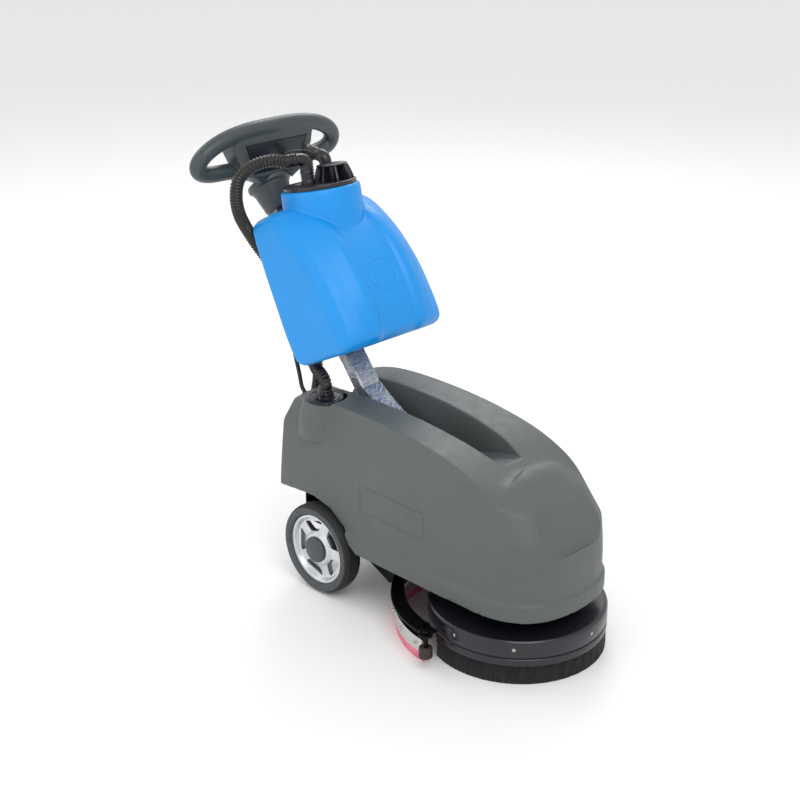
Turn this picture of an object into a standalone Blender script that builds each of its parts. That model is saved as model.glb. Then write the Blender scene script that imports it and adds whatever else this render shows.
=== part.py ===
"""Walk-behind floor scrubber: brush deck, squeegee, two wheels, folding column, recovery tank and handle.

Frame: metres, +Z up, front faces -Y, the floor is z = 0 and x = 0 is the plane of symmetry.
Places are written from the wheel axle (y = 0 there); one empty then sets the machine on its origin.
"""

import math

import bmesh
import bpy
from mathutils import Matrix, Vector

# Driving dimensions, in metres.
AXLE_Y = 0.12045
GAP = 0.0003
WHEEL_RADIUS = 0.100
WHEEL_INNER_X = 0.1225
WHEEL_OUTER_X = 0.1725
AXLE_RADIUS = 0.008
BRUSH_Y = -0.4275
DECK_RADIUS = 0.183
DECK_TOP = 0.097
DECK_BOTTOM = 0.056
SKIRT_TOP = 0.040
SHELL_WALL = 0.005
PLATE_TOP = 0.124
PLATE_THICK = 0.006
PORT = Vector((-0.105, 0.028, 0.425))
GLAND_FOOT = Vector((-0.086, 0.1025, 0.390))
GLAND_AXIS = Vector((0, 0.60, 0.80))
FOLD = Vector((0.0, -0.120, 0.352))
COLUMN_FOOT = Vector((0.0, 0.008, 0.427))
COLUMN_HEAD = Vector((0.0, 0.315, 0.814))
COLUMN_WIDTH = 0.055
COLUMN_DEPTH = 0.030
COLUMN_WALL = 0.002
TANK_FOOT = Vector((0.0, 0.066, 0.492))
TANK_TILT = math.radians(28)
TANK_WALL = 0.004
NECK = Vector((0.0, 0.149, 0.839))
NECK_TILT = math.radians(12)
NECK_RADIUS = 0.084
LID_RADIUS = 0.078
HOSE_RADIUS = 0.014
SQUEEGEE_HINGE = Vector((0.0, -0.060, 0.098))
PANEL_Y = 0.352

PLASTIC_GREY = ("body_plastic", (0.105, 0.115, 0.115), 0.55, 0.0)
HANDLE_GREY = ("handle_plastic", (0.045, 0.060, 0.064), 0.45, 0.0)
TANK_BLUE = ("tank_plastic", (0.0, 0.255, 0.790), 0.35, 0.0)
BLACK = ("black_plastic", (0.010, 0.012, 0.018), 0.35, 0.0)
STEEL = ("bright_steel", (0.62, 0.62, 0.60), 0.30, 1.0)
DARK_STEEL = ("painted_steel", (0.020, 0.020, 0.022), 0.45, 0.6)
RUBBER = ("tyre_rubber", (0.020, 0.021, 0.023), 0.75, 0.0)
BLADE_PINK = ("blade_polyurethane", (0.80, 0.18, 0.26), 0.40, 0.0)
BRISTLE_RED = ("brush_bristle", (0.30, 0.004, 0.006), 0.60, 0.0)


def clear_scene():
    for old in list(bpy.data.objects):
        bpy.data.objects.remove(old, do_unlink=True)


def new_collection(name, hidden=False):
    made = bpy.data.collections.new(name)
    bpy.context.scene.collection.children.link(made)
    made.hide_render = hidden
    return made


clear_scene()
PARTS = new_collection("floor_scrubber")
CUTTERS = new_collection("cutters", hidden=True)


def paint(obj, look):
    """Gives obj its own Principled material: (name, linear colour, roughness, metallic)."""
    name, colour, roughness, metallic = look
    material = bpy.data.materials.new(f"{obj.name}_{name}")
    material.use_nodes = True
    shader = material.node_tree.nodes["Principled BSDF"]
    shader.inputs["Base Color"].default_value = (*colour, 1.0)
    shader.inputs["Roughness"].default_value = roughness
    shader.inputs["Metallic"].default_value = metallic
    obj.data.materials.clear()
    obj.data.materials.append(material)
    return obj


def add(name, data, look=None, at=(0, 0, 0), turn=None):
    """A part when look is given, otherwise a hidden cutter."""
    obj = bpy.data.objects.new(name, data)
    obj.location = at
    if turn is not None:
        obj.rotation_euler = turn.to_euler()
    if look:
        PARTS.objects.link(obj)
        return paint(obj, look)
    CUTTERS.objects.link(obj)
    obj.hide_render = True
    obj.display_type = "WIRE"
    return obj


def finish(mesh_builder, name):
    mesh = bpy.data.meshes.new(name)
    bmesh.ops.recalc_face_normals(mesh_builder, faces=mesh_builder.faces)
    mesh_builder.to_mesh(mesh)
    mesh_builder.free()
    mesh.shade_smooth()
    mesh.set_sharp_from_angle(angle=math.radians(35))
    return mesh


def block(name, size, at, look=None, turn=None, bevel=0.0):
    builder = bmesh.new()
    bmesh.ops.create_cube(builder, size=1.0)
    bmesh.ops.scale(builder, vec=size, verts=builder.verts)
    obj = add(name, finish(builder, name), look, at, turn)
    if bevel:
        rounded = obj.modifiers.new("Round", "BEVEL")
        rounded.width = bevel
        rounded.segments = 2
    return obj


def towards(direction):
    """Rotation that carries +Z to direction."""
    return Vector((0, 0, 1)).rotation_difference(Vector(direction)).to_matrix()


def turned(name, profile, at, look=None, turn=None, steps=24, ring=False):
    """A profile of (radius, height) down the outer side, spun about the object's Z."""
    builder = bmesh.new()
    points = [builder.verts.new((radius, 0, height)) for radius, height in profile]
    pairs = list(zip(points, points[1:]))
    if ring:
        pairs.append((points[-1], points[0]))
    for start, end in pairs:
        builder.edges.new((start, end))
    mesh = bpy.data.meshes.new(name)
    builder.to_mesh(mesh)
    builder.free()
    obj = add(name, mesh, look, at, turn)
    spin = obj.modifiers.new("Spin", "SCREW")
    spin.steps = steps
    spin.render_steps = steps
    spin.use_merge_vertices = True
    spin.merge_threshold = 0.0001
    spin.use_smooth_shade = False
    return obj


def cylinder(name, radius, bottom, top, at, look=None, turn=None, steps=24):
    return turned(name, [(0, top), (radius, top), (radius, bottom), (0, bottom)], at, look, turn, steps)


def pipe_ring(name, inner, outer, bottom, top, at, look=None, turn=None, steps=24):
    profile = [(inner, top), (outer, top), (outer, bottom), (inner, bottom)]
    return turned(name, profile, at, look, turn, steps, ring=True)


def stretch(builder, rings, closed=False):
    """Side faces between rings of equal point count, with end caps unless closed."""
    count = len(rings[0])
    loops = rings + [rings[0]] if closed else rings
    for low, high in zip(loops, loops[1:]):
        for i in range(count):
            j = (i + 1) % count
            builder.faces.new((low[i], low[j], high[j], high[i]))
    if not closed:
        builder.faces.new(rings[0])
        builder.faces.new(rings[-1])


def loft(name, sections, look=None, at=(0, 0, 0), turn=None):
    """A closed solid through unlike sections that have the same number of points."""
    builder = bmesh.new()
    stretch(builder, [[builder.verts.new(p) for p in section] for section in sections])
    return add(name, finish(builder, name), look, at, turn)


def slab(name, outline, inner, outer, look=None):
    """An outline of (y, z) points carried along x from inner to outer."""
    return loft(name, [[(x, y, z) for y, z in outline] for x in (inner, outer)], look)


def smooth_route(points, spacing):
    """Points along a Catmull-Rom curve through the route's own points."""
    route = [Vector(p) for p in points]
    route = [2 * route[0] - route[1]] + route + [2 * route[-1] - route[-2]]
    smooth = []
    for a, b, c, d in zip(route, route[1:], route[2:], route[3:]):
        steps = max(1, round((c - b).length / spacing))
        for i in range(steps):
            t = i / steps
            bend = (2 * a - 5 * b + 4 * c - d) * t * t + (3 * b - a - 3 * c + d) * t**3
            smooth.append(0.5 * (2 * b + (c - a) * t + bend))
    return smooth + [route[-2]]


def tube(name, points, radius, look, resolution=2, spacing=None):
    """A round tube on a smooth route, with filled caps."""
    route = smooth_route(points, spacing or 2.2 * radius)
    curve = bpy.data.curves.new(name, "CURVE")
    curve.dimensions = "3D"
    curve.bevel_depth = radius
    curve.bevel_resolution = resolution
    curve.use_fill_caps = True
    spline = curve.splines.new("POLY")
    spline.points.add(len(route) - 1)
    for point, place in zip(spline.points, route):
        point.co = (*place, 1)
    return add(name, curve, look)


def as_mesh(obj):
    """Replaces a curve object by the closed mesh that it makes."""
    graph = bpy.context.evaluated_depsgraph_get()
    graph.update()
    mesh = bpy.data.meshes.new_from_object(obj.evaluated_get(graph))
    builder = bmesh.new()
    builder.from_mesh(mesh)
    bmesh.ops.remove_doubles(builder, verts=builder.verts, dist=0.00001)
    bmesh.ops.recalc_face_normals(builder, faces=builder.faces)
    builder.to_mesh(mesh)
    builder.free()
    name = obj.name
    home = obj.users_collection[0]
    solid = bpy.data.objects.new(name, mesh)
    solid.matrix_world = obj.matrix_world
    bpy.data.objects.remove(obj, do_unlink=True)
    home.objects.link(solid)
    solid.name = name
    return solid


def combine(obj, other, operation="DIFFERENCE"):
    change = obj.modifiers.new(other.name, "BOOLEAN")
    change.object = other
    change.operation = operation
    change.solver = "EXACT"
    return obj


def move_origin(obj, origin):
    """Sets a mesh object's origin without moving its surface."""
    shift = Vector(origin) - obj.location
    obj.data.transform(Matrix.Translation(-(obj.rotation_euler.to_matrix().inverted() @ shift)))
    obj.location = origin
    return obj


# ---------------------------------------------------------------- body shell

# Side stations from rear to front: y, height of the shoulder crest, height of the upper crest.
SIDE_STATIONS = [
    (0.050, 0.359, 0.424),
    (-0.020, 0.355, 0.430),
    (-0.110, 0.350, 0.431),
    (-0.210, 0.343, 0.427),
    (-0.300, 0.330, 0.416),
    (-0.380, 0.300, 0.400),
    (-0.455, 0.270, 0.366),
]

# Nose stations round to the centre line: (x, y) of the rim, shoulder, crest, top and inner rings, spine y.
NOSE_STATIONS = [
    ((0.152, -0.507), (0.143, -0.504), (0.119, -0.489), (0.072, -0.464), (0.037, -0.450), -0.436),
    ((0.119, -0.563), (0.111, -0.553), (0.093, -0.521), (0.056, -0.480), (0.028, -0.460), -0.442),
    ((0.060, -0.588), (0.056, -0.574), (0.048, -0.533), (0.030, -0.488), (0.014, -0.465), -0.447),
    ((0.000, -0.592), (0.000, -0.577), (0.000, -0.535), (0.000, -0.490), (0.000, -0.467), -0.449),
]


def body_cage(inset):
    """Half cage, x >= 0: columns run rear centre, side, nose centre; rings run rim, crests, spine."""
    columns = []
    for x in (0.0, 0.080):
        columns.append(
            [
                (x, 0.134, 0.130),
                (x, 0.134, 0.163),
                (x, 0.134, 0.169),
                (x, 0.133, 0.236),
                (x, 0.112, 0.363),
                (x * 0.95, 0.096, 0.398),
                (x * 0.80, 0.084, 0.414),
                (x * 0.40, 0.074, 0.421),
                (0.0, 0.068, 0.423),
            ]
        )
    for x, y in ((0.148, 0.134), (0.161, 0.131), (0.161, 0.113)):
        lean = (y - 0.113) / 0.021
        columns.append(
            [
                (x, y, 0.130),
                (x, y, 0.163),
                (x - 0.007, y, 0.169),
                (x - 0.008, y - 0.001, 0.236),
                (x - 0.011, y - 0.003 - 0.014 * lean, 0.364),
                (x - 0.033, y - 0.014 - 0.016 * lean, 0.409 + 0.004 * (1 - lean)),
                (0.085, y - 0.022 - 0.020 * lean, 0.424),
                (0.045, y - 0.030 - 0.022 * lean, 0.427),
                (0.0, y - 0.034 - 0.022 * lean, 0.427),
            ]
        )
    for y, shoulder, crest in SIDE_STATIONS:
        waist = 0.236 if shoulder > 0.31 else shoulder - 0.055
        columns.append(
            [
                (0.160, y, 0.130),
                (0.160, y, 0.163),
                (0.153, y, 0.169),
                (0.152, y, waist),
                (0.150, y, shoulder),
                (0.128, y, crest + 0.003),
                (0.087, y * 0.99, crest + 0.004),
                (0.045, y * 0.97, crest + 0.002),
                (0.0, y * 0.95, crest + 0.002),
            ]
        )
    for rim, shoulder, crest, top, inner, spine in NOSE_STATIONS:
        x, y = rim
        columns.append(
            [
                (x, y, 0.130),
                (x, y, 0.163),
                (x * 0.965, y + 0.005, 0.169),
                (x * 0.965, y + 0.005, 0.222),
                (*shoulder, 0.284),
                (*crest, 0.340),
                (*top, 0.375),
                (*inner, 0.386),
                (0.0, spine, 0.388),
            ]
        )
    if not inset:
        return columns
    middle = -0.230
    nose_inset = 1.8 * inset
    moved = []
    for column in columns:
        new = []
        for place, (x, y, z) in enumerate(column):
            low = place < 3
            drop = 0.030 if place == 0 else 0.0
            across = max(0.0, x - inset - (0.007 if low else 0.0)) if x else 0.0
            depth = nose_inset if y < middle else inset
            fade = min(1, abs(y - middle) / 0.2)
            along = y - math.copysign(depth + (0.007 if low else 0.0), y - middle) * fade
            new.append((across, along, z - drop if low else z - inset))
        moved.append(new)
    return moved


def hull(name, inset=0.0, look=None):
    """Closed half hull, mirrored and smoothed: the moulding's outside, or its cavity when inset."""
    cage = body_cage(inset)
    builder = bmesh.new()
    grid = [[builder.verts.new(p) for p in column] for column in cage]
    floor = [builder.verts.new((0.0, column[0].co.y * 0.96, column[0].co.z)) for column in grid[1:-1]]
    bottom = [grid[0][0]] + floor + [grid[-1][0]]
    for left, right in zip(grid, grid[1:]):
        for low in range(len(left) - 1):
            builder.faces.new((left[low], right[low], right[low + 1], left[low + 1]))
    for i in range(len(grid) - 1):
        corners = [grid[i][0], bottom[i], bottom[i + 1], grid[i + 1][0]]
        builder.faces.new(list(dict.fromkeys(corners)))
    crease = builder.edges.layers.float.new("crease_edge")
    strength = {0: 1.0, 1: 0.9, 2: 0.9, 4: 0.7, 5: 0.7}
    for left, right in zip(grid, grid[1:]):
        for ring, amount in strength.items():
            builder.edges.get((left[ring], right[ring]))[crease] = amount
    bmesh.ops.remove_doubles(builder, verts=builder.verts, dist=0.00001)
    obj = add(name, finish(builder, name), look)
    mirror = obj.modifiers.new("Mirror", "MIRROR")
    mirror.use_clip = True
    mirror.merge_threshold = 0.0001
    smooth = obj.modifiers.new("Smooth", "SUBSURF")
    smooth.levels = 1
    smooth.render_levels = 1
    return obj


# Channel stations: y, half width at the floor, half width at the rim, floor height.
CHANNEL_STATIONS = [
    (0.200, 0.042, 0.050, 0.318),
    (0.000, 0.042, 0.050, 0.316),
    (-0.170, 0.042, 0.049, 0.318),
    (-0.260, 0.040, 0.047, 0.345),
    (-0.350, 0.036, 0.043, 0.372),
    (-0.420, 0.026, 0.034, 0.388),
    (-0.452, 0.008, 0.014, 0.396),
]


def channel(name, grown=0.0):
    sections = []
    for y, floor_half, rim_half, floor in CHANNEL_STATIONS:
        low = floor - grown
        a = floor_half + grown
        b = rim_half + grown
        sections.append([(-a, y - grown, low), (a, y - grown, low), (b, y - grown, 0.47), (-b, y - grown, 0.47)])
    return loft(name, sections)


def wheel_arch():
    outline = [
        (0.200, 0.203),
        (0.060, 0.214),
        (0.020, 0.216),
        (-0.033, 0.204),
        (-0.074, 0.176),
        (-0.095, 0.144),
        (-0.117, 0.129),
        (-0.117, 0.080),
        (0.200, 0.080),
    ]
    return slab("arch_cut", outline, -0.200, 0.200)


def body_shell():
    shell = hull("body_shell", look=PLASTIC_GREY)
    boss = turned(
        "port_boss",
        [(0, PORT.z), (0.044, PORT.z), (0.048, PORT.z - 0.006), (0.045, 0.350), (0.030, 0.330), (0, 0.330)],
        (PORT.x, PORT.y, 0),
    )
    combine(shell, boss, "UNION")
    combine(shell, cylinder("gland_boss", 0.013, -0.030, 0.010, GLAND_FOOT, turn=towards(GLAND_AXIS)), "UNION")
    combine(shell, cylinder("port_face", 0.0485, PORT.z, 0.460, (PORT.x, PORT.y, 0)))
    combine(shell, channel("channel_cut"))
    combine(shell, wheel_arch())
    for side in (-1, 1):
        recess = block(f"side_recess_{side + 1}", (0.020, 0.182, 0.058), (side * 0.1598, -0.215, 0.259))
        combine(shell, recess)
    nose = Matrix.Rotation(math.radians(-26), 3, "X")
    combine(shell, block("nose_recess", (0.166, 0.030, 0.095), (0, -0.5646, 0.301), turn=nose))
    cavity = hull("body_cavity", inset=SHELL_WALL)
    combine(cavity, channel("channel_wall", grown=SHELL_WALL))
    combine(shell, cavity)
    combine(shell, cylinder("port_bore", 0.030, 0.300, 0.450, (PORT.x, PORT.y, 0)))
    return shell


# ------------------------------------------------------------------- chassis


def chassis():
    frame = block(
        "chassis_frame", (0.210, 0.590, PLATE_THICK), (0, -0.195, PLATE_TOP - PLATE_THICK / 2), DARK_STEEL
    )
    for side in (-1, 1):
        cheek = block(f"cheek_{side + 1}", (0.006, 0.060, 0.055), (side * 0.100, 0, 0.0965))
        combine(frame, cheek, "UNION")
    combine(frame, block("rear_upstand", (0.210, 0.005, 0.095), (0, 0.0975, 0.165)), "UNION")
    combine(frame, cylinder("axle_bore", AXLE_RADIUS + GAP, -0.2, 0.2, (0, 0, WHEEL_RADIUS), turn=towards((1, 0, 0))))
    rod = cylinder(
        "wheel_axle", AXLE_RADIUS, -0.168, 0.168, (0, 0, WHEEL_RADIUS), STEEL, towards((1, 0, 0)), steps=24
    )
    hinge = cylinder(
        "squeegee_hinge_pin", 0.004, -0.1025, 0.1025, SQUEEGEE_HINGE, STEEL, towards((1, 0, 0)), steps=16
    )
    for side in (-1, 1):
        lug = block(f"lug_{side + 1}", (0.005, 0.020, 0.034), (side * 0.0775, SQUEEGEE_HINGE.y, 0.104))
        combine(frame, lug, "UNION")
    bore = cylinder("hinge_bore", 0.004 + GAP, -0.2, 0.2, SQUEEGEE_HINGE, turn=towards((1, 0, 0)), steps=16)
    combine(frame, bore)
    return frame, rod, hinge


def drive_and_power():
    batteries = []
    for name, side in (("battery_right", -1), ("battery_left", 1)):
        place = (side * 0.048, -0.225, PLATE_TOP + GAP + 0.080)
        batteries.append(block(name, (0.088, 0.175, 0.160), place, BLACK, bevel=0.004))
    motor = cylinder("brush_motor", 0.052, PLATE_TOP + GAP, 0.250, (0, BRUSH_Y, 0), DARK_STEEL)
    blower = cylinder("vacuum_motor", 0.045, PLATE_TOP + GAP, 0.235, (-0.055, 0.028, 0), BLACK)
    duct = tube(
        "vacuum_duct",
        [
            (-0.055, 0.028, 0.2353),
            (-0.055, 0.028, 0.2550),
            (-0.085, 0.028, 0.300),
            (-0.105, 0.028, 0.350),
            (PORT.x, PORT.y, 0.4100),
            (PORT.x, PORT.y, PORT.z),
        ],
        0.018,
        BLACK,
    )
    flange = turned(
        "gearbox_flange",
        [(0, 0.1177), (0.070, 0.1177), (0.070, 0.0973), (0.0095, 0.0973), (0.0095, 0.113), (0, 0.113)],
        (0, BRUSH_Y, 0),
        DARK_STEEL,
    )
    return batteries + [motor, blower, duct, flange]


def port():
    disc = turned(
        "vacuum_port",
        [(0, 0.004), (0.0366, 0.004), (0.0386, 0.002), (0.0386, GAP), (0, GAP)],
        PORT,
        BLACK,
    )
    nut = turned(
        "port_nut",
        [(0, 0.022), (0.015, 0.022), (0.018, 0.019), (0.018, 0.008), (0.021, 0.006), (0.021, 0.0043), (0, 0.0043)],
        PORT,
        BLACK,
        steps=6,
    )
    gland = cylinder("cable_gland", 0.010, 0.0103, 0.0225, GLAND_FOOT, BLACK, towards(GLAND_AXIS), steps=6)
    return disc, nut, gland


# ---------------------------------------------------------------- brush deck


def sector(name, inner, outer, bottom, top, first, last, look):
    """Part of a ring about the brush axis, between two angles in degrees."""
    count = 22
    angles = [math.radians(first + (last - first) * i / count) for i in range(count + 1)]
    outline = [(outer * math.cos(a), outer * math.sin(a)) for a in angles]
    outline += [(inner * math.cos(a), inner * math.sin(a)) for a in reversed(angles)]
    builder = bmesh.new()
    rows = [[builder.verts.new((x, y, z)) for x, y in outline] for z in (bottom, top)]
    total = len(outline)
    for i in range(total):
        j = (i + 1) % total
        builder.faces.new((rows[0][i], rows[0][j], rows[1][j], rows[1][i]))
    for row in rows:
        for i in range(count):
            builder.faces.new((row[i], row[i + 1], row[total - 2 - i], row[total - 1 - i]))
    return add(name, finish(builder, name), look, (0, BRUSH_Y, 0))


def brush_deck():
    roof = DECK_TOP - 0.005
    wall = DECK_RADIUS - 0.005
    deck = turned(
        "brush_deck",
        [
            (0.012, DECK_TOP),
            (DECK_RADIUS - 0.004, DECK_TOP),
            (DECK_RADIUS, DECK_TOP - 0.004),
            (DECK_RADIUS, DECK_BOTTOM),
            (wall, DECK_BOTTOM),
            (wall, roof),
            (0.012, roof),
        ],
        (0, BRUSH_Y, 0),
        BLACK,
        steps=36,
        ring=True,
    )
    holder = sector("skirt_holder", wall, DECK_RADIUS, SKIRT_TOP, DECK_BOTTOM - GAP, 160, 380, BLACK)
    skirt = sector("skirt_bristles", wall, DECK_RADIUS - 0.001, 0.0, SKIRT_TOP - GAP, 160, 380, BLACK)
    return deck, holder, skirt


def brush():
    centre = (0, BRUSH_Y, 0)
    hub = turned(
        "brush_hub",
        [(0, 0.111), (0.009, 0.111), (0.009, 0.086), (0.032, 0.086), (0.040, 0.056), (0, 0.056)],
        centre,
        DARK_STEEL,
    )
    disc = turned(
        "brush_plate",
        [(0, 0.0557), (0.160, 0.0557), (0.165, 0.0507), (0.165, 0.043), (0, 0.043)],
        centre,
        BRISTLE_RED,
        steps=30,
    )
    bristles = pipe_ring("brush_bristles", 0.065, 0.168, 0.0004, 0.0427, centre, BRISTLE_RED, steps=30)
    return hub, disc, bristles


# -------------------------------------------------------------------- wheels


def wheel(name, side):
    axis = towards((side, 0, 0))
    middle = (WHEEL_INNER_X + WHEEL_OUTER_X) / 2
    half = (WHEEL_OUTER_X - WHEEL_INNER_X) / 2
    centre = (side * middle, 0, WHEEL_RADIUS)
    tyre = turned(
        f"tyre_{name}",
        [
            (0.0783, half - 0.006),
            (0.084, half),
            (0.092, half - 0.001),
            (0.098, half - 0.006),
            (WHEEL_RADIUS, half - 0.014),
            (WHEEL_RADIUS, 0.014 - half),
            (0.098, 0.006 - half),
            (0.092, 0.001 - half),
            (0.084, -half),
            (0.0783, 0.006 - half),
        ],
        centre,
        RUBBER,
        axis,
        steps=30,
        ring=True,
    )
    rim = turned(
        f"rim_{name}",
        [
            (AXLE_RADIUS + GAP, 0.016),
            (0.034, 0.018),
            (0.038, 0.010),
            (0.066, 0.008),
            (0.070, 0.016),
            (0.078, 0.018),
            (0.078, -0.018),
            (0.070, -0.018),
            (0.066, -0.004),
            (0.036, -0.004),
            (0.030, -0.018),
            (AXLE_RADIUS + GAP, -0.018),
        ],
        centre,
        STEEL,
        axis,
        steps=30,
        ring=True,
    )
    windows = bmesh.new()
    for turn in range(5):
        rows = []
        for height in (-0.03, 0.03):
            row = []
            for radius, spread in ((0.041, -15), (0.041, 15), (0.064, 20), (0.064, -20)):
                angle = math.radians(72 * turn + spread)
                row.append(windows.verts.new((radius * math.cos(angle), radius * math.sin(angle), height)))
            rows.append(row)
        stretch(windows, rows)
    combine(rim, add(f"rim_windows_{name}", finish(windows, "windows"), None, centre, axis))
    cap = turned(
        f"hub_cap_{name}",
        [(0, 0.026), (0.025, 0.026), (0.029, 0.023), (0.029, 0.0183), (0, 0.0183)],
        centre,
        HANDLE_GREY,
        axis,
    )
    combine(cap, cylinder(f"cap_bore_{name}", 0.012, 0.0, 0.0215, centre, turn=axis, steps=16))
    return tyre, rim, cap


# ------------------------------------------------------------------ squeegee

# Outer face of the rear blade at the floor, from the machine's centre to its left end.
BLADE_LINE = [
    (0.000, -0.150),
    (0.050, -0.156),
    (0.100, -0.180),
    (0.142, -0.217),
    (0.170, -0.253),
    (0.190, -0.290),
    (0.202, -0.326),
    (0.208, -0.362),
]


def blade_path(trim=0.0):
    """The blade's line from end to end, as points with their outward normals, shortened by trim at each end."""
    half = smooth_route([(x, y, 0) for x, y in BLADE_LINE], 0.034)
    half[-1] = half[-1] + (half[-2] - half[-1]).normalized() * trim
    whole = [Vector((-p.x, p.y, 0)) for p in reversed(half[1:])] + half
    path = []
    for i, point in enumerate(whole):
        along = whole[min(i + 1, len(whole) - 1)] - whole[max(i - 1, 0)]
        path.append((point, Vector((-along.y, along.x, 0)).normalized()))
    return path


def strip(name, outer, inner, bottom, top, look=None, flare=0.0, trim=0.0):
    """A wall along the blade's line between two offsets; flare widens its outer side at the ends."""
    sections = []
    for point, normal in blade_path(trim):
        reach = outer + flare * (abs(point.x) / 0.208) ** 3
        a = point + normal * reach
        b = point + normal * inner
        sections.append([(a.x, a.y, bottom), (b.x, b.y, bottom), (b.x, b.y, top), (a.x, a.y, top)])
    return loft(name, sections, look)


def squeegee():
    carrier = strip("squeegee_carrier", -0.0033, -0.0083, 0.012, 0.076, DARK_STEEL, trim=0.003)
    combine(carrier, strip("carrier_plate", 0.006, -0.020, 0.074, 0.080, flare=0.010), "UNION")
    rear = strip("blade_rear", 0.0, -0.003, 0.0005, 0.046, BLADE_PINK)
    front = strip("blade_front", -0.0086, -0.0116, 0.0005, 0.046, BLADE_PINK)
    clamp = strip("clamp_strip_rear", 0.0022, GAP, 0.020, 0.050, STEEL)
    clamp_front = strip("clamp_strip_front", -0.0119, -0.0137, 0.020, 0.050, STEEL)
    nozzle = block("suction_nozzle", (0.050, 0.022, 0.024), (0, -0.160, 0.0923), BLACK, bevel=0.003)
    pins = []
    for side in (-1, 1):
        ear = block(f"roller_ear_{side + 1}", (0.034, 0.040, 0.005), (side * 0.217, -0.374, 0.077))
        combine(carrier, ear, "UNION")
        post = cylinder(f"roller_post_{side + 1}", 0.004, 0.023, 0.076, (side * 0.222, -0.384, 0), steps=16)
        combine(carrier, post, "UNION")
        arm_line = [(-0.190, 0.060), (-0.150, 0.050), (-0.068, 0.088), (-0.052, 0.090), (-0.050, 0.104),
                    (-0.066, 0.108), (-0.150, 0.0797), (-0.190, 0.0797)]
        arm = slab(f"lift_arm_{side + 1}", arm_line, side * 0.0826, side * 0.0936)
        combine(carrier, arm, "UNION")
        pins.append(
            pipe_ring(
                "roller_left" if side > 0 else "roller_right",
                0.0043,
                0.014,
                0.027,
                0.051,
                (side * 0.222, -0.384, 0),
                RUBBER,
                steps=24,
            )
        )
    bore = cylinder("arm_bore", 0.004 + GAP, -0.2, 0.2, SQUEEGEE_HINGE, turn=towards((1, 0, 0)), steps=16)
    combine(carrier, bore)
    for obj in (carrier, rear, front, clamp, clamp_front, nozzle):
        move_origin(obj, SQUEEGEE_HINGE)
    return pins


# -------------------------------------------------------------------- column


def column_axis():
    return (COLUMN_HEAD - COLUMN_FOOT).normalized()


def column_turn():
    """Local z along the column, local x across the machine."""
    up = column_axis()
    across = Vector((1, 0, 0))
    back = up.cross(across)
    return Matrix((across, back, up)).transposed()


def column_point(distance, depth=0.0):
    """A point on the column, distance above its foot, depth behind its axis."""
    return COLUMN_FOOT + column_turn() @ Vector((0, depth, distance))


def column():
    length = (COLUMN_HEAD - COLUMN_FOOT).length
    turn = column_turn()
    size = (COLUMN_WIDTH, COLUMN_DEPTH, length - 0.050)
    middle = column_point(0.002 + size[2] / 2)
    post = block("column_tube", size, middle, STEEL, turn, bevel=0.006)
    hollow = (COLUMN_WIDTH - 2 * COLUMN_WALL, COLUMN_DEPTH - 2 * COLUMN_WALL, length)
    combine(post, block("column_hollow", hollow, middle, turn=turn, bevel=0.004))
    top = column_point(0.0, COLUMN_DEPTH / 2)
    low = column_point(0.0, -COLUMN_DEPTH / 2)
    spigot = block(
        "link_spigot",
        (hollow[0] - 2 * GAP, hollow[1] - 2 * GAP, 0.090),
        column_point(0.035),
        turn=turn,
        bevel=0.003,
    )
    link_line = [
        (top.y, top.z),
        (low.y, low.z),
        (-0.040, 0.412),
        (-0.092, 0.383),
        (-0.112, 0.370),
        (-0.134, 0.366),
        (-0.141, 0.352),
        (-0.134, 0.338),
        (-0.112, 0.334),
        (-0.070, 0.345),
        (-0.020, 0.372),
    ]
    link = slab("column_link", link_line, -0.0255, 0.0255, STEEL)
    combine(link, spigot, "UNION")
    combine(link, cylinder("link_bore", 0.0065 + GAP, -0.1, 0.1, FOLD, turn=towards((1, 0, 0)), steps=24))
    pin = cylinder("fold_pin", 0.0065, -0.0395, 0.0395, FOLD, STEEL, towards((1, 0, 0)), steps=24)
    base = block("fold_bracket", (0.078, 0.060, 0.004), (0, FOLD.y, 0.3205), DARK_STEEL)
    for side in (-1, 1):
        ear_line = [(-0.148, 0.320), (-0.092, 0.320), (-0.102, 0.358), (-0.112, 0.368), (-0.128, 0.368), (-0.138, 0.358)]
        ear = slab(f"fold_ear_{side + 1}", ear_line, side * 0.0270, side * 0.0320)
        combine(base, ear, "UNION")
    combine(base, cylinder("ear_bore", 0.0065 + GAP, -0.1, 0.1, FOLD, turn=towards((1, 0, 0)), steps=24))
    move_origin(link, FOLD)
    return post, link, pin, base


def tank_frame():
    """Local x across, local y forward from the tank's rear face, local z up along it."""
    up = Vector((0, math.sin(TANK_TILT), math.cos(TANK_TILT)))
    forward = Vector((0, -math.cos(TANK_TILT), math.sin(TANK_TILT)))
    return Matrix((Vector((-1, 0, 0)), forward, up)).transposed()


# Tank stations up its rear face: height, half width, and how far forward of the rear plane
# its sides, its ridges and its rear face stand there.
TANK_STATIONS = [
    (0.000, 0.130, 0.150, 0.166, 0.006),
    (0.006, 0.138, 0.163, 0.180, -0.002),
    (0.022, 0.142, 0.170, 0.191, -0.009),
    (0.074, 0.142, 0.168, 0.197, -0.013),
    (0.130, 0.142, 0.161, 0.194, -0.012),
    (0.180, 0.142, 0.147, 0.184, -0.0105),
    (0.220, 0.142, 0.131, 0.168, -0.009),
    (0.256, 0.141, 0.112, 0.147, -0.0075),
    (0.286, 0.140, 0.092, 0.120, -0.006),
    (0.307, 0.136, 0.072, 0.100, -0.004),
    (0.318, 0.122, 0.060, 0.086, 0.004),
]


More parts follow.
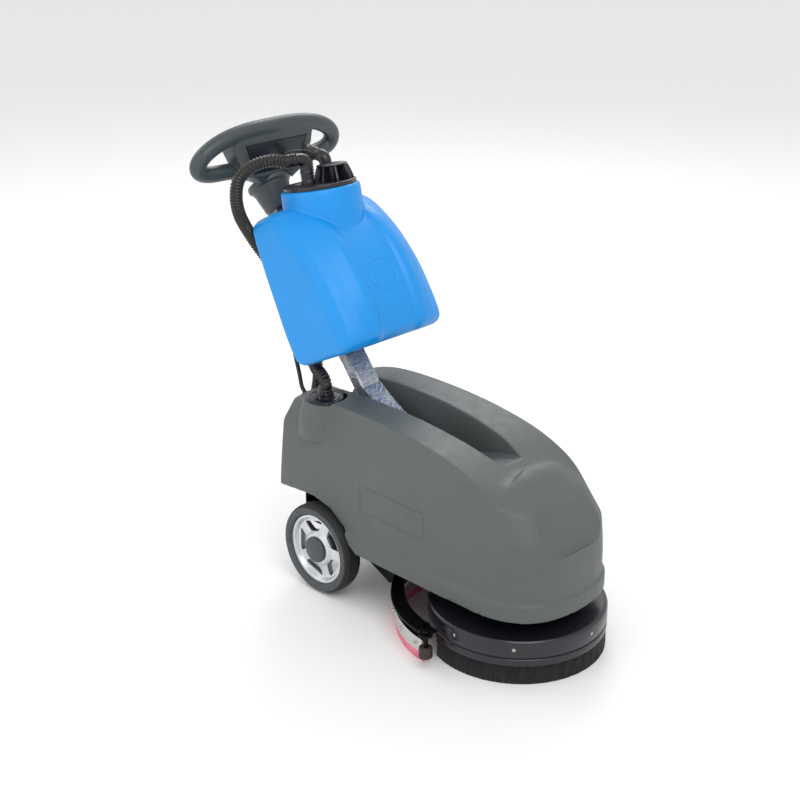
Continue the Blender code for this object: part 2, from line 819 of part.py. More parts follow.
def tank_ring(height, half, side, ridge, back, inset=0.0):
    half = half - inset
    side = side - inset
    ridge = ridge - inset
    rear = back + inset
    right = [
        (0.0, rear),
        (half - 0.010, rear),
        (half - 0.002, rear + 0.003),
        (half, rear + 0.010),
        (half, side - 0.024),
        (half - 0.004, side - 0.010),
        (half - 0.014, side),
        (half - 0.042, side + (ridge - side) * 0.62),
        (0.071, ridge),
        (0.056, ridge - 0.002),
        (0.046, ridge - 0.006),
        (0.0, ridge - 0.007),
    ]
    left = [(-x, y) for x, y in reversed(right[1:-1])]
    return [(x, y, height) for x, y in right + left]


def tank():
    turn = tank_frame()
    outside = [tank_ring(*station) for station in TANK_STATIONS]
    shell = loft("tank_shell", outside, TANK_BLUE, TANK_FOOT, turn)
    neck = turned(
        "tank_neck",
        [(0, 0), (NECK_RADIUS - 0.003, 0), (NECK_RADIUS, -0.003), (NECK_RADIUS + 0.001, -0.085), (0, -0.085)],
        NECK,
        turn=neck_turn(),
        steps=30,
    )
    combine(shell, neck, "UNION")
    groove = Vector((COLUMN_WIDTH + 0.010, COLUMN_DEPTH + 0.010, 0.300))
    cover = groove + Vector((2 * TANK_WALL, 2 * TANK_WALL, 0))
    combine(shell, block("groove_slot", groove, column_point(0.170), turn=column_turn()))
    inner_stations = [station for station in TANK_STATIONS if 0.005 < station[0] < 0.310]
    inner = [tank_ring(*station, inset=TANK_WALL) for station in inner_stations]
    cavity = loft("tank_inside", inner, None, TANK_FOOT, turn)
    combine(cavity, block("groove_cover", cover, column_point(0.170), turn=column_turn()))
    combine(shell, cavity)
    combine(shell, cylinder("neck_bore", NECK_RADIUS - 0.008, -0.080, 0.02, NECK, turn=neck_turn(), steps=30))
    return shell


def tank_mounts():
    turn = column_turn()
    saddle_size = (0.046, 0.010, 0.050)
    saddle = block("tank_saddle", saddle_size, column_point(0.340, -COLUMN_DEPTH / 2 - GAP - 0.005), DARK_STEEL, turn)
    clip = block("hose_clip", (0.068, 0.034, 2 * CLIP_HALF), CLIP_CENTRE, BLACK, turn, bevel=0.003)
    return saddle, clip


# ---------------------------------------------------------------- handle head


def handle_loop_points():
    half = [
        (0.000, 0.300, 0.943),
        (0.060, 0.300, 0.942),
        (0.112, 0.301, 0.935),
        (0.150, 0.305, 0.922),
        (0.177, 0.311, 0.904),
        (0.187, 0.318, 0.884),
        (0.178, 0.324, 0.867),
        (0.150, 0.327, 0.858),
        (0.105, 0.326, 0.856),
        (0.050, 0.322, 0.853),
        (0.000, 0.320, 0.852),
    ]
    return half + [(-x, y, z) for x, y, z in reversed(half[1:-1])]


def pod_section(z, half, front, rear):
    corner = 0.012
    return [
        (-half + corner, front, z),
        (half - corner, front, z),
        (half, front + corner, z),
        (half, rear - corner, z),
        (half - corner, rear, z),
        (-half + corner, rear, z),
        (-half, rear - corner, z),
        (-half, front + corner, z),
    ]


def handle_head():
    points = handle_loop_points()
    curve = bpy.data.curves.new("handle_head", "CURVE")
    curve.dimensions = "3D"
    curve.bevel_depth = 0.0185
    curve.bevel_resolution = 3
    spline = curve.splines.new("POLY")
    spline.points.add(len(points) - 1)
    spline.use_cyclic_u = True
    for point, place in zip(spline.points, points):
        point.co = (*place, 1)
    head = paint(as_mesh(add("handle_head", curve, HANDLE_GREY)), HANDLE_GREY)
    sections = [
        pod_section(0.826, 0.052, 0.285, 0.345),
        pod_section(0.845, 0.078, 0.280, PANEL_Y),
        pod_section(0.895, 0.104, 0.280, PANEL_Y),
        pod_section(0.932, 0.116, 0.286, PANEL_Y - 0.014),
        pod_section(0.944, 0.112, 0.296, PANEL_Y - 0.030),
    ]
    combine(head, loft("console_pod", sections), "UNION")
    recess = [
        [(-0.066, y, 0.848), (0.066, y, 0.848), (0.088, y, 0.915), (-0.088, y, 0.915)] for y in (0.250, 0.2875)
    ]
    combine(head, loft("console_recess", recess))
    socket = turned(
        "handle_socket",
        [
            (0, 0.006),
            (0.045, 0.006),
            (0.049, 0.003),
            (0.049, -0.006),
            (0.044, -0.010),
            (0.040, -0.018),
            (0.034, -0.060),
            (0.031, -0.064),
            (0, -0.064),
        ],
        COLUMN_HEAD,
        HANDLE_GREY,
        column_turn(),
        steps=30,
    )
    hollow = (COLUMN_WIDTH + 2 * GAP, COLUMN_DEPTH + 2 * GAP, 0.0477)
    clear = cylinder("socket_clear", 0.0500, -0.080, 0.006 + GAP, COLUMN_HEAD, turn=column_turn())
    combine(head, clear)
    combine(socket, block("socket_hollow", hollow, column_point(0.4635 - 0.0195), turn=column_turn(), bevel=0.006))
    return head, socket


def controls():
    front = PANEL_Y + GAP
    panel = block("control_panel", (0.130, 0.003, 0.046), (0, front + 0.0015, 0.872), BLACK)
    face = front + 0.003 + GAP
    meter = block("battery_meter", (0.034, 0.003, 0.016), (-0.042, face + 0.0015, 0.880), PLASTIC_GREY, bevel=0.001)
    key = cylinder("key_switch", 0.0085, 0.0, 0.006, (0.046, face, 0.874), STEEL, towards((0, 1, 0)), steps=24)
    combine(key, block("key_blade", (0.0030, 0.010, 0.014), (0.046, face + 0.009, 0.874)), "UNION")
    rockers = []
    for name, x in (("rocker_brush", -0.006), ("rocker_vacuum", 0.018)):
        rockers.append(block(name, (0.014, 0.006, 0.020), (x, face + 0.0045, 0.874), BRISTLE_RED, bevel=0.001))
    return [panel, meter, key] + rockers


# ----------------------------------------------------------------------- lid


def neck_turn():
    return towards((0, math.sin(NECK_TILT), math.cos(NECK_TILT)))


def on_lid(x, forward, height):
    """A point over the tank's neck: across, forward of its centre, and above its rim."""
    back = Vector((0, math.cos(NECK_TILT), -math.sin(NECK_TILT)))
    up = Vector((0, math.sin(NECK_TILT), math.cos(NECK_TILT)))
    return NECK + Vector((x, 0, 0)) - back * forward + up * height


FIN_ANGLES = (-75, -30, 15, 150, 195, 240)

# Elbows on the lid: place across and forward of the neck's centre, knee height, heading of the outlet.
ELBOWS = {
    "elbow_vacuum": (-0.036, 0.006, 0.060, Vector((-1, 0.10, 0.05)).normalized()),
    "elbow_recovery": (0.036, -0.012, 0.0545, Vector((-0.10, 1, 0.05)).normalized()),
}


def elbow_route(name):
    x, forward, height, heading = ELBOWS[name]
    foot = on_lid(x, forward, 0.0093)
    knee = on_lid(x, forward, height)
    rise = (knee - foot).normalized()
    return [
        foot,
        foot + rise * 0.022,
        knee - rise * 0.006,
        knee + heading * 0.006 + rise * 0.001,
        knee + heading * 0.020 + rise * 0.003,
        knee + heading * 0.036 + rise * 0.003,
    ]


def hose_start(elbow):
    """First two points of a hose that leaves an elbow straight."""
    tip = elbow_route(elbow)[-1]
    heading = ELBOWS[elbow][3]
    return [tip + heading * GAP, tip + heading * 0.015]


def lid():
    turn = neck_turn()
    lid_top = 0.009
    disc = turned(
        "tank_lid",
        [(0, lid_top), (LID_RADIUS - 0.002, lid_top), (LID_RADIUS, 0.007), (LID_RADIUS, GAP), (0, GAP)],
        NECK,
        BLACK,
        turn,
        steps=30,
    )
    drum = cylinder("lid_drum", 0.017, 0.004, 0.044, on_lid(0.022, 0.022, 0), turn=turn, steps=24)
    combine(disc, drum, "UNION")
    for degrees in FIN_ANGLES:
        angle = math.radians(degrees)
        fin_line = [(0.010, 0.004), (0.044, 0.004), (0.034, 0.043), (0.010, 0.043)]
        direction = Vector((math.cos(angle), math.sin(angle), 0))
        across = Vector((-direction.y, direction.x, 0))
        rows = []
        for side in (-0.0022, 0.0022):
            rows.append([direction * r + across * side + Vector((0, 0, h)) for r, h in fin_line])
        fin = loft(f"lid_fin_{degrees}", rows, None, on_lid(0.022, 0.022, 0), turn)
        combine(disc, fin, "UNION")
    seal = pipe_ring("lid_seal", 0.066, NECK_RADIUS - 0.0085, -0.012, 0.0, NECK, RUBBER, turn, steps=30)
    cage = pipe_ring("float_cage", 0.018, 0.024, -0.070, 0.0, on_lid(-0.010, 0.0, 0), BLACK, turn, steps=20)
    elbows = [tube(name, elbow_route(name), 0.0125, BLACK, spacing=0.012) for name in ELBOWS]
    return [disc, seal, cage] + elbows


# --------------------------------------------------------------------- hoses

CLIP_CENTRE = Vector((-0.062, 0.176, 0.622))
CLIP_HALF = 0.009


def at_clip(x, side):
    """Last two points of a hose that meets the clip square, from above (side 1) or below (-1)."""
    place = Vector((x, CLIP_CENTRE.y, CLIP_CENTRE.z))
    return [place + column_axis() * side * reach for reach in (CLIP_HALF + 0.014, CLIP_HALF + GAP)]


HOSE_ROUTES = {
    "hose_vacuum_upper": hose_start("elbow_vacuum")
    + [
        (-0.118, 0.167, 0.911),
        (-0.150, 0.184, 0.902),
        (-0.172, 0.202, 0.876),
        (-0.174, 0.212, 0.840),
        (-0.164, 0.219, 0.803),
        (-0.140, 0.230, 0.766),
        (-0.112, 0.226, 0.718),
        (-0.094, 0.210, 0.680),
    ]
    + at_clip(-0.080, 1),
    "hose_vacuum_lower": at_clip(-0.080, -1)[::-1]
    + [
        (-0.078, 0.136, 0.552),
        (-0.077, 0.110, 0.503),
        (-0.086, 0.078, 0.476),
        (-0.099, 0.046, 0.471),
        (-0.105, 0.028, 0.4620),
        (-0.105, 0.028, 0.4473),
    ],
    "hose_recovery_upper": hose_start("elbow_recovery")
    + [
        (0.040, 0.232, 0.896),
        (0.052, 0.246, 0.870),
        (0.058, 0.246, 0.820),
        (0.056, 0.246, 0.765),
        (0.052, 0.252, 0.722),
        (0.030, 0.262, 0.690),
        (0.000, 0.252, 0.668),
        (-0.026, 0.231, 0.650),
    ]
    + at_clip(-0.048, 1),
    "hose_recovery_middle": at_clip(-0.048, -1)[::-1]
    + [
        (-0.047, 0.141, 0.555),
        (-0.046, 0.122, 0.500),
        (-0.046, 0.117, 0.440),
        (-0.046, 0.128, 0.380),
        (-0.046, 0.144, 0.300),
        (-0.046, 0.149, 0.200),
        (-0.046, 0.125, 0.112),
        (-0.046, 0.045, 0.073),
        (-0.046, -0.016, 0.070),
        (-0.046, -0.0297, 0.070),
    ],
    "hose_recovery_lower": [
        (-0.046, -0.0503, 0.070),
        (-0.046, -0.064, 0.070),
        (-0.034, -0.092, 0.078),
        (-0.008, -0.120, 0.0925),
        (0.000, -0.134, 0.0945),
        (0.000, -0.1487, 0.0945),
    ],
}
GLAND_TIP = GLAND_FOOT + GLAND_AXIS * 0.0225
CABLE_ROUTE = [
    (-0.062, 0.1992, 0.600),
    (-0.070, 0.183, 0.560),
    (-0.078, 0.158, 0.500),
    (-0.084, 0.134, 0.446),
    GLAND_TIP + GLAND_AXIS * 0.015,
    GLAND_TIP + GLAND_AXIS * GAP,
]


def hoses():
    made = []
    for name, route in HOSE_ROUTES.items():
        radius = 0.012 if "recovery" in name else HOSE_RADIUS
        made.append(tube(name, route, radius, BLACK, spacing=0.032))
    made.append(tube("cable_loom", CABLE_ROUTE, 0.005, BLACK, spacing=0.024))
    support = block("hose_bracket", (0.030, 0.020, 0.0475), (-0.046, -0.040, 0.0939), DARK_STEEL)
    return made + [support]


def set_on_origin():
    """Everything hangs from one empty, which puts the axle at AXLE_Y."""
    origin = bpy.data.objects.new("machine_origin", None)
    origin.location = (0, AXLE_Y, 0)
    PARTS.objects.link(origin)
    for obj in list(PARTS.objects) + list(CUTTERS.objects):
        if obj is not origin:
            obj.parent = origin


body_shell()
chassis()
drive_and_power()
port()
brush_deck()
brush()
wheel("right", -1)
wheel("left", 1)
squeegee()
column()
tank()
tank_mounts()
handle_head()
controls()
lid()
hoses()
set_on_origin()
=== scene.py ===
"""Visual model of the floor scrubber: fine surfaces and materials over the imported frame.

Places are written from the wheel axle, as the machine's own drawing has them, and each piece is
carried to the frame by SHIFT when it is settled.
"""

import math
import random

import bmesh
import bpy
from mathutils import Matrix, Vector, noise


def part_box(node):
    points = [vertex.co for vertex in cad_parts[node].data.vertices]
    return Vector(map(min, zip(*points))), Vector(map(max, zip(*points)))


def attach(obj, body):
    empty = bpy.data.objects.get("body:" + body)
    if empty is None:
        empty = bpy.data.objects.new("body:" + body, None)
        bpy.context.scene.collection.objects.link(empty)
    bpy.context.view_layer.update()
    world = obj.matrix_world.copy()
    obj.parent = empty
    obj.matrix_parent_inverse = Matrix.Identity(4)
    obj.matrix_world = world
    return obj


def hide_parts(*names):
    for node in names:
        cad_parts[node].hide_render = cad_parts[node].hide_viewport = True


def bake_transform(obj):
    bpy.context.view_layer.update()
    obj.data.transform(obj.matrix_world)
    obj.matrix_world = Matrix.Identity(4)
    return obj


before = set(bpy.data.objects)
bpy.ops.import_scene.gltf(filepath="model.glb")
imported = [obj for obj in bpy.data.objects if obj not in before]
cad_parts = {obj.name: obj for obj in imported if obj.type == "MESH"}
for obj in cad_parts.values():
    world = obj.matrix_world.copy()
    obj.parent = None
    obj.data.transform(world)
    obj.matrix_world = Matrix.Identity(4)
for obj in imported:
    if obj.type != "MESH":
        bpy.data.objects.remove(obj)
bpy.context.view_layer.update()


def middle_of(node):
    low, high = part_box(node)
    return (Vector(low) + Vector(high)) / 2


SHIFT = Vector((0, middle_of("wheel_axle").y, 0))
AXLE_Z = middle_of("wheel_axle").z
BRUSH_Y = middle_of("brush_deck").y - SHIFT.y
DECK_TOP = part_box("brush_deck")[1][2]
DECK_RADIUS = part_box("brush_deck")[1][0]
WHEEL_X = middle_of("tyre_left").x
WHEEL_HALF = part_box("tyre_left")[1][0] - WHEEL_X
WHEEL_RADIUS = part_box("tyre_left")[1][2] - AXLE_Z
CHANCE = random.Random(11)

# ------------------------------------------------------------ camera and studio

VIEW_AZIMUTH = math.radians(-44.79)
VIEW_ELEVATION = math.radians(22.68)
VIEW_TARGET = Vector((0.0027, -0.0858, 0.4228)) + SHIFT
VIEW_DISTANCE = 3.2468
LENS_MM = 69.64


def studio():
    camera_data = bpy.data.cameras.new("camera")
    camera_data.lens = LENS_MM
    camera_data.sensor_width = 36.0
    camera = bpy.data.objects.new("camera", camera_data)
    bpy.context.scene.collection.objects.link(camera)
    flat = math.cos(VIEW_ELEVATION)
    back = Vector((math.sin(VIEW_AZIMUTH) * flat, -math.cos(VIEW_AZIMUTH) * flat, math.sin(VIEW_ELEVATION)))
    camera.location = VIEW_TARGET + back * VIEW_DISTANCE
    camera.rotation_euler = back.to_track_quat("Z", "Y").to_euler()
    bpy.context.scene.camera = camera
    lights = (
        ("key", (-1.2, -2.2, 3.4), 2.2, 46.0),
        ("fill", (-3.0, 0.4, 1.5), 2.0, 10.0),
        ("rim", (2.4, 1.8, 2.8), 1.6, 34.0),
        ("back", (-0.6, 3.0, 2.4), 2.0, 14.0),
    )
    for name, place, size, power in lights:
        light = bpy.data.lights.new(name, "AREA")
        light.size = size
        light.energy = power
        lamp = bpy.data.objects.new(name, light)
        lamp.location = place
        lamp.rotation_euler = (Vector(place) - Vector((0, 0, 0.35))).to_track_quat("Z", "Y").to_euler()
        bpy.context.scene.collection.objects.link(lamp)
    world = bpy.data.worlds.new("studio")
    world.use_nodes = True
    world.node_tree.nodes["Background"].inputs["Color"].default_value = (1.0, 1.0, 1.0, 1.0)
    world.node_tree.nodes["Background"].inputs["Strength"].default_value = 0.85
    bpy.context.scene.world = world
    bpy.context.scene.view_settings.view_transform = "Standard"
    bpy.ops.mesh.primitive_plane_add(size=30, location=(0, 0, 0))
    floor = bpy.context.object
    floor.name = "floor"
    paint = bpy.data.materials.new("floor")
    paint.use_nodes = True
    paint.node_tree.nodes["Principled BSDF"].inputs["Base Color"].default_value = (0.93, 0.93, 0.93, 1)
    paint.node_tree.nodes["Principled BSDF"].inputs["Roughness"].default_value = 0.6
    floor.data.materials.append(paint)


# -------------------------------------------------------------------- materials


class Look:
    """A Principled material with the few node chains that the finishes here share."""

    def __init__(self, name, roughness, metallic=0.0, coat=0.0):
        self.material = bpy.data.materials.new(name)
        self.material.use_nodes = True
        self.nodes = self.material.node_tree.nodes
        self.links = self.material.node_tree.links
        self.shader = self.nodes["Principled BSDF"]
        self.shader.inputs["Roughness"].default_value = roughness
        self.shader.inputs["Metallic"].default_value = metallic
        if coat:
            self.shader.inputs["Coat Weight"].default_value = coat
        self.place = self.nodes.new("ShaderNodeTexCoord").outputs["Object"]
        self.height = None

    def noise(self, scale, detail=3.0, stretch=None):
        made = self.nodes.new("ShaderNodeTexNoise")
        made.inputs["Scale"].default_value = scale
        made.inputs["Detail"].default_value = detail
        place = self.place
        if stretch:
            mapping = self.nodes.new("ShaderNodeMapping")
            mapping.inputs["Scale"].default_value = stretch
            self.links.new(place, mapping.inputs["Vector"])
            place = mapping.outputs["Vector"]
        self.links.new(place, made.inputs["Vector"])
        return made.outputs["Fac"]

    def cells(self, scale, feature="F1", output="Distance"):
        made = self.nodes.new("ShaderNodeTexVoronoi")
        made.feature = feature
        made.inputs["Scale"].default_value = scale
        self.links.new(self.place, made.inputs["Vector"])
        return made.outputs[output]

    def ramp(self, value, low, high, start=0.0, end=1.0):
        made = self.nodes.new("ShaderNodeMapRange")
        made.inputs["From Min"].default_value = low
        made.inputs["From Max"].default_value = high
        made.inputs["To Min"].default_value = start
        made.inputs["To Max"].default_value = end
        self.links.new(value, made.inputs["Value"])
        return made.outputs["Result"]

    def math(self, operation, a, b):
        made = self.nodes.new("ShaderNodeMath")
        made.operation = operation
        for socket, value in zip(made.inputs, (a, b)):
            if isinstance(value, (int, float)):
                socket.default_value = value
            else:
                self.links.new(value, socket)
        return made.outputs[0]

    def mix(self, factor, a, b):
        made = self.nodes.new("ShaderNodeMix")
        made.data_type = "RGBA"
        self.links.new(factor, made.inputs["Factor"])
        for socket, value in ((made.inputs[6], a), (made.inputs[7], b)):
            if isinstance(value, tuple):
                socket.default_value = (*value, 1.0)
            else:
                self.links.new(value, socket)
        return made.outputs[2]

    def colour(self, value):
        self.links.new(value, self.shader.inputs["Base Color"])
        return self

    def rough(self, value):
        self.links.new(value, self.shader.inputs["Roughness"])
        return self

    def bump(self, value, strength, distance):
        made = self.nodes.new("ShaderNodeBump")
        made.inputs["Strength"].default_value = strength
        made.inputs["Distance"].default_value = distance
        self.links.new(value, made.inputs["Height"])
        if self.height:
            self.links.new(self.height, made.inputs["Normal"])
        self.height = made.outputs["Normal"]
        self.links.new(self.height, self.shader.inputs["Normal"])
        return self

    def edge(self, low=0.52, high=0.60):
        made = self.nodes.new("ShaderNodeNewGeometry")
        return self.ramp(made.outputs["Pointiness"], low, high)


def moulded(name, dark, light, roughness, grain=650.0, depth=0.25, wear_and_edge_highlight=None, coat=0.0, patch=5.0):
    """Moulded plastic: slow colour drift, fine orange peel, and a painted highlight on the convex edges."""
    look = Look(name, roughness, coat=coat)
    base = look.mix(look.ramp(look.noise(patch, 5.0), 0.3, 0.7), dark, light)
    if wear_and_edge_highlight:
        # Painted highlight: convex edges, broken up by noise, are mixed towards the lighter colour given
        # last.
        edge_highlight_mask = look.math("MULTIPLY", look.edge(), look.noise(60.0, 4.0))
        base = look.mix(edge_highlight_mask, base, wear_and_edge_highlight)
    look.colour(base)
    look.rough(look.ramp(look.noise(35.0, 4.0), 0.3, 0.7, roughness - 0.05, roughness + 0.06))
    look.bump(look.noise(grain, 2.0), depth, 0.0004)
    return look.bump(look.noise(14.0, 2.0), 0.12, 0.003).material


def metal(name, dark, light, roughness, stretch=(1, 1, 1), grain=400.0, depth=0.1):
    """Bare or painted metal with rolling marks along its longest way."""
    look = Look(name, roughness, metallic=1.0)
    streak = look.noise(grain, 3.0, stretch)
    look.colour(look.mix(look.ramp(streak, 0.3, 0.7), dark, light))
    look.rough(look.ramp(look.noise(50.0, 4.0), 0.3, 0.7, roughness - 0.07, roughness + 0.1))
    return look.bump(streak, depth, 0.0002).material


def tyre_material():
    """Slate sidewall and near-black tread, told apart by the distance from the axle."""
    look = Look("tyre_rubber", 0.72)
    flat = look.nodes.new("ShaderNodeVectorMath")
    flat.operation = "MULTIPLY"
    flat.inputs[1].default_value = (0, 1, 1)
    look.links.new(look.place, flat.inputs[0])
    reach = look.nodes.new("ShaderNodeVectorMath")
    reach.operation = "DISTANCE"
    reach.inputs[1].default_value = (0, SHIFT.y, AXLE_Z)
    look.links.new(flat.outputs[0], reach.inputs[0])
    wall = look.mix(look.ramp(look.noise(90.0, 4.0), 0.3, 0.7), (0.060, 0.066, 0.072), (0.082, 0.090, 0.097))
    wear_and_edge_highlight = look.ramp(reach.outputs["Value"], WHEEL_RADIUS - 0.0075, WHEEL_RADIUS - 0.0045)
    look.colour(look.mix(wear_and_edge_highlight, wall, (0.014, 0.014, 0.015)))
    return look.bump(look.noise(900.0, 3.0), 0.25, 0.0004).material


def film_material():
    """Thin silver film wrapped over the steel, speckled and crinkled; painted shade high up, a painted
    highlight lower down.
    """
    look = Look("film_wrap", 0.34, metallic=0.75)
    cut = look.nodes.new("ShaderNodeSeparateXYZ")
    look.links.new(look.place, cut.inputs[0])
    # Height mask for painted light: painted highlight low on the film, painted shade higher up.
    up = look.ramp(cut.outputs["Z"], 0.36, 0.62)
    speckle = look.ramp(look.cells(420.0), 0.15, 0.65)
    painted_highlight_low = look.mix(speckle, (0.86, 0.87, 0.90), (0.40, 0.42, 0.46))
    painted_shade_high = look.mix(speckle, (0.30, 0.33, 0.38), (0.10, 0.12, 0.16))
    look.colour(look.mix(up, painted_highlight_low, painted_shade_high))
    look.rough(look.ramp(look.noise(70.0, 5.0), 0.3, 0.7, 0.18, 0.5))
    look.bump(look.cells(95.0, "F2"), 0.45, 0.0012)
    return look.bump(look.noise(320.0, 5.0), 0.35, 0.0006).material


def bristle_material(name, dark, light):
    look = Look(name, 0.5)
    look.colour(look.mix(look.ramp(look.noise(420.0, 3.0, (1, 1, 0.05)), 0.3, 0.7), dark, light))
    return look.bump(look.noise(900.0, 2.0, (1, 1, 0.04)), 0.3, 0.0003).material


def blade_material():
    look = Look("blade_polyurethane", 0.32)
    look.colour(look.mix(look.ramp(look.noise(25.0, 4.0), 0.3, 0.7), (0.70, 0.12, 0.20), (0.86, 0.22, 0.32)))
    return look.bump(look.noise(300.0, 3.0), 0.15, 0.0003).material


# The last colour given to a moulding, where there is one, is its painted edge highlight.
LOOKS = {
    "grey_body": moulded("body_plastic", (0.083, 0.094, 0.092), (0.097, 0.108, 0.106), 0.50, 520.0, 0.30,
                         (0.20, 0.215, 0.21)),
    "slate_handle": moulded("handle_plastic", (0.043, 0.055, 0.060), (0.052, 0.066, 0.071), 0.40, 800.0, 0.12,
                            (0.12, 0.14, 0.15)),
    "navy_panel": moulded("panel_plastic", (0.010, 0.015, 0.022), (0.014, 0.020, 0.028), 0.30, 800.0, 0.10),
    "blue_tank": moulded("tank_plastic", (0.0, 0.250, 0.700), (0.0, 0.285, 0.765), 0.42, 420.0, 0.28,
                         (0.05, 0.42, 0.95)),
    "black_plastic": moulded("black_plastic", (0.006, 0.007, 0.011), (0.010, 0.011, 0.017), 0.30, 700.0, 0.10,
                             (0.03, 0.03, 0.035), coat=0.15),
    "hose": moulded("hose_plastic", (0.006, 0.0055, 0.005), (0.011, 0.010, 0.009), 0.36, 500.0, 0.10),
    "bare_steel": metal("bare_steel", (0.52, 0.52, 0.50), (0.72, 0.71, 0.68), 0.30, (0.1, 1, 1)),
    "black_steel": metal("black_steel", (0.010, 0.010, 0.011), (0.022, 0.022, 0.023), 0.45),
    "tyre_rubber": tyre_material(),
    "rim_silver": metal("rim_silver", (0.60, 0.62, 0.64), (0.72, 0.74, 0.76), 0.36, grain=250.0),
    "pink_blade": blade_material(),
    "red_bristle": bristle_material("red_bristle", (0.20, 0.002, 0.004), (0.42, 0.012, 0.014)),
    "black_bristle": bristle_material("black_bristle", (0.006, 0.006, 0.008), (0.022, 0.022, 0.026)),
    "film": film_material(),
    "roller": moulded("roller_rubber", (0.020, 0.015, 0.012), (0.034, 0.026, 0.020), 0.55, 500.0, 0.2),
    "red_switch": moulded("red_switch", (0.28, 0.006, 0.006), (0.36, 0.010, 0.010), 0.30, 700.0, 0.08),
}


# ---------------------------------------------------------------- mesh helpers


def new_object(name, builder):
    mesh = bpy.data.meshes.new(name)
    bmesh.ops.recalc_face_normals(builder, faces=builder.faces)
    builder.to_mesh(mesh)
    builder.free()
    obj = bpy.data.objects.new(name, mesh)
    bpy.context.scene.collection.objects.link(obj)
    return obj


def towards(direction):
    return Vector((0, 0, 1)).rotation_difference(Vector(direction)).to_matrix()


def skin(builder, rings, closed_ring=True, caps=True, closed_path=False):
    """Quads between successive rings of equal point count."""
    count = len(rings[0])
    around = count if closed_ring else count - 1
    pairs = list(zip(rings, rings[1:]))
    if closed_path:
        pairs.append((rings[-1], rings[0]))
    for low, high in pairs:
        for i in range(around):
            j = (i + 1) % count
            builder.faces.new((low[i], low[j], high[j], high[i]))
    if caps and not closed_path:
        builder.faces.new(rings[0])
        builder.faces.new(rings[-1])


def loft(name, sections, closed_path=False):
    builder = bmesh.new()
    skin(builder, [[builder.verts.new(p) for p in section] for section in sections], closed_path=closed_path)
    return new_object(name, builder)


def lathe(name, profile, at=(0, 0, 0), axis=(0, 0, 1), steps=96, bevel=0.0006, ring=False, first=0.0,
          last=360.0):
    """A profile of (radius, height) spun about an axis, whole or between two angles in degrees."""
    builder = bmesh.new()
    turn = towards(axis)
    whole = last - first >= 360.0
    count = steps if whole else steps + 1
    columns = []
    for i in range(count):
        angle = math.radians(first + (last - first) * i / steps)
        column = []
        for radius, height in profile:
            local = Vector((radius * math.cos(angle), radius * math.sin(angle), height))
            column.append(builder.verts.new(Vector(at) + turn @ local))
        columns.append(column)
    skin(builder, columns, closed_ring=ring, caps=ring and not whole, closed_path=whole)
    bmesh.ops.remove_doubles(builder, verts=builder.verts, dist=0.000005)
    obj = new_object(name, builder)
    if bevel:
        round_edges(obj, bevel)
    return obj


def round_edges(obj, width, segments=2, angle=30):
    rounded = obj.modifiers.new("Round", "BEVEL")
    rounded.width = width
    rounded.segments = segments
    rounded.limit_method = "ANGLE"
    rounded.angle_limit = math.radians(angle)
    return obj


def box(name, size, at, turn=None, bevel=0.0, segments=3):
    builder = bmesh.new()
    bmesh.ops.create_cube(builder, size=1.0)
    bmesh.ops.scale(builder, vec=size, verts=builder.verts)
    if turn is not None:
        bmesh.ops.transform(builder, matrix=turn.to_4x4(), verts=builder.verts)
    bmesh.ops.translate(builder, vec=at, verts=builder.verts)
    obj = new_object(name, builder)
    if bevel:
        round_edges(obj, bevel, segments)
    return obj


def smooth_route(points, spacing):
    """Points along a Catmull-Rom curve through the route's own points."""
    route = [Vector(p) for p in points]
    route = [2 * route[0] - route[1]] + route + [2 * route[-1] - route[-2]]
    smooth = []
    for a, b, c, d in zip(route, route[1:], route[2:], route[3:]):
        steps = max(1, round((c - b).length / spacing))
        for i in range(steps):
            t = i / steps
            bend = (2 * a - 5 * b + 4 * c - d) * t * t + (3 * b - a - 3 * c + d) * t**3
            smooth.append(0.5 * (2 * b + (c - a) * t + bend))
    return smooth + [route[-2]]


def even_route(points, spacing):
    """The same curve, with points at equal distances along it."""
    fine = smooth_route(points, spacing / 4)
    total = sum((b - a).length for a, b in zip(fine, fine[1:]))
    count = max(2, round(total / spacing))
    wanted = total / count
    even, gone, reach = [fine[0]], 0.0, wanted
    for a, b in zip(fine, fine[1:]):
        step = (b - a).length
        while gone + step >= reach - 1e-9 and len(even) < count:
            even.append(a.lerp(b, (reach - gone) / step))
            reach += wanted
        gone += step
    return even + [fine[-1]], total


def sweep(name, route, radius, sides=20, closed=False):
    """A tube along evenly spaced points; radius is a number or a function of the distance along it."""
    builder = bmesh.new()
    count = len(route)
    along = (route[1] - route[0]).normalized()
    side = along.orthogonal().normalized()
    rings, gone = [], 0.0
    for i, point in enumerate(route):
        if closed:
            heading = (route[(i + 1) % count] - route[i - 1]).normalized()
        else:
            heading = (route[min(i + 1, count - 1)] - route[max(i - 1, 0)]).normalized()
        side = (side - heading * side.dot(heading)).normalized()
        across = heading.cross(side)
        if i:
            gone += (point - route[i - 1]).length
        size = radius(gone) if callable(radius) else radius
        ring = []
        for k in range(sides):
            angle = 2 * math.pi * k / sides
            ring.append(builder.verts.new(point + (side * math.cos(angle) + across * math.sin(angle)) * size))
        rings.append(ring)
    skin(builder, rings, closed_path=closed)
    return new_object(name, builder)


def combine(obj, other, operation="DIFFERENCE"):
    change = obj.modifiers.new(other.name, "BOOLEAN")
    change.object = other
    change.operation = operation
    change.solver = "MANIFOLD"
    other.hide_render = True
    return obj


def join(name, parts):
    """One mesh from several separate ones, each with its modifiers applied."""
    builder = bmesh.new()
    graph = bpy.context.evaluated_depsgraph_get()
    graph.update()
    for part in parts:
        mesh = bpy.data.meshes.new_from_object(part.evaluated_get(graph))
        builder.from_mesh(mesh)
        bpy.data.meshes.remove(mesh)
    for part in parts:
        bpy.data.objects.remove(part, do_unlink=True)
    mesh = bpy.data.meshes.new(name)
    builder.to_mesh(mesh)
    builder.free()
    obj = bpy.data.objects.new(name, mesh)
    bpy.context.scene.collection.objects.link(obj)
    return obj


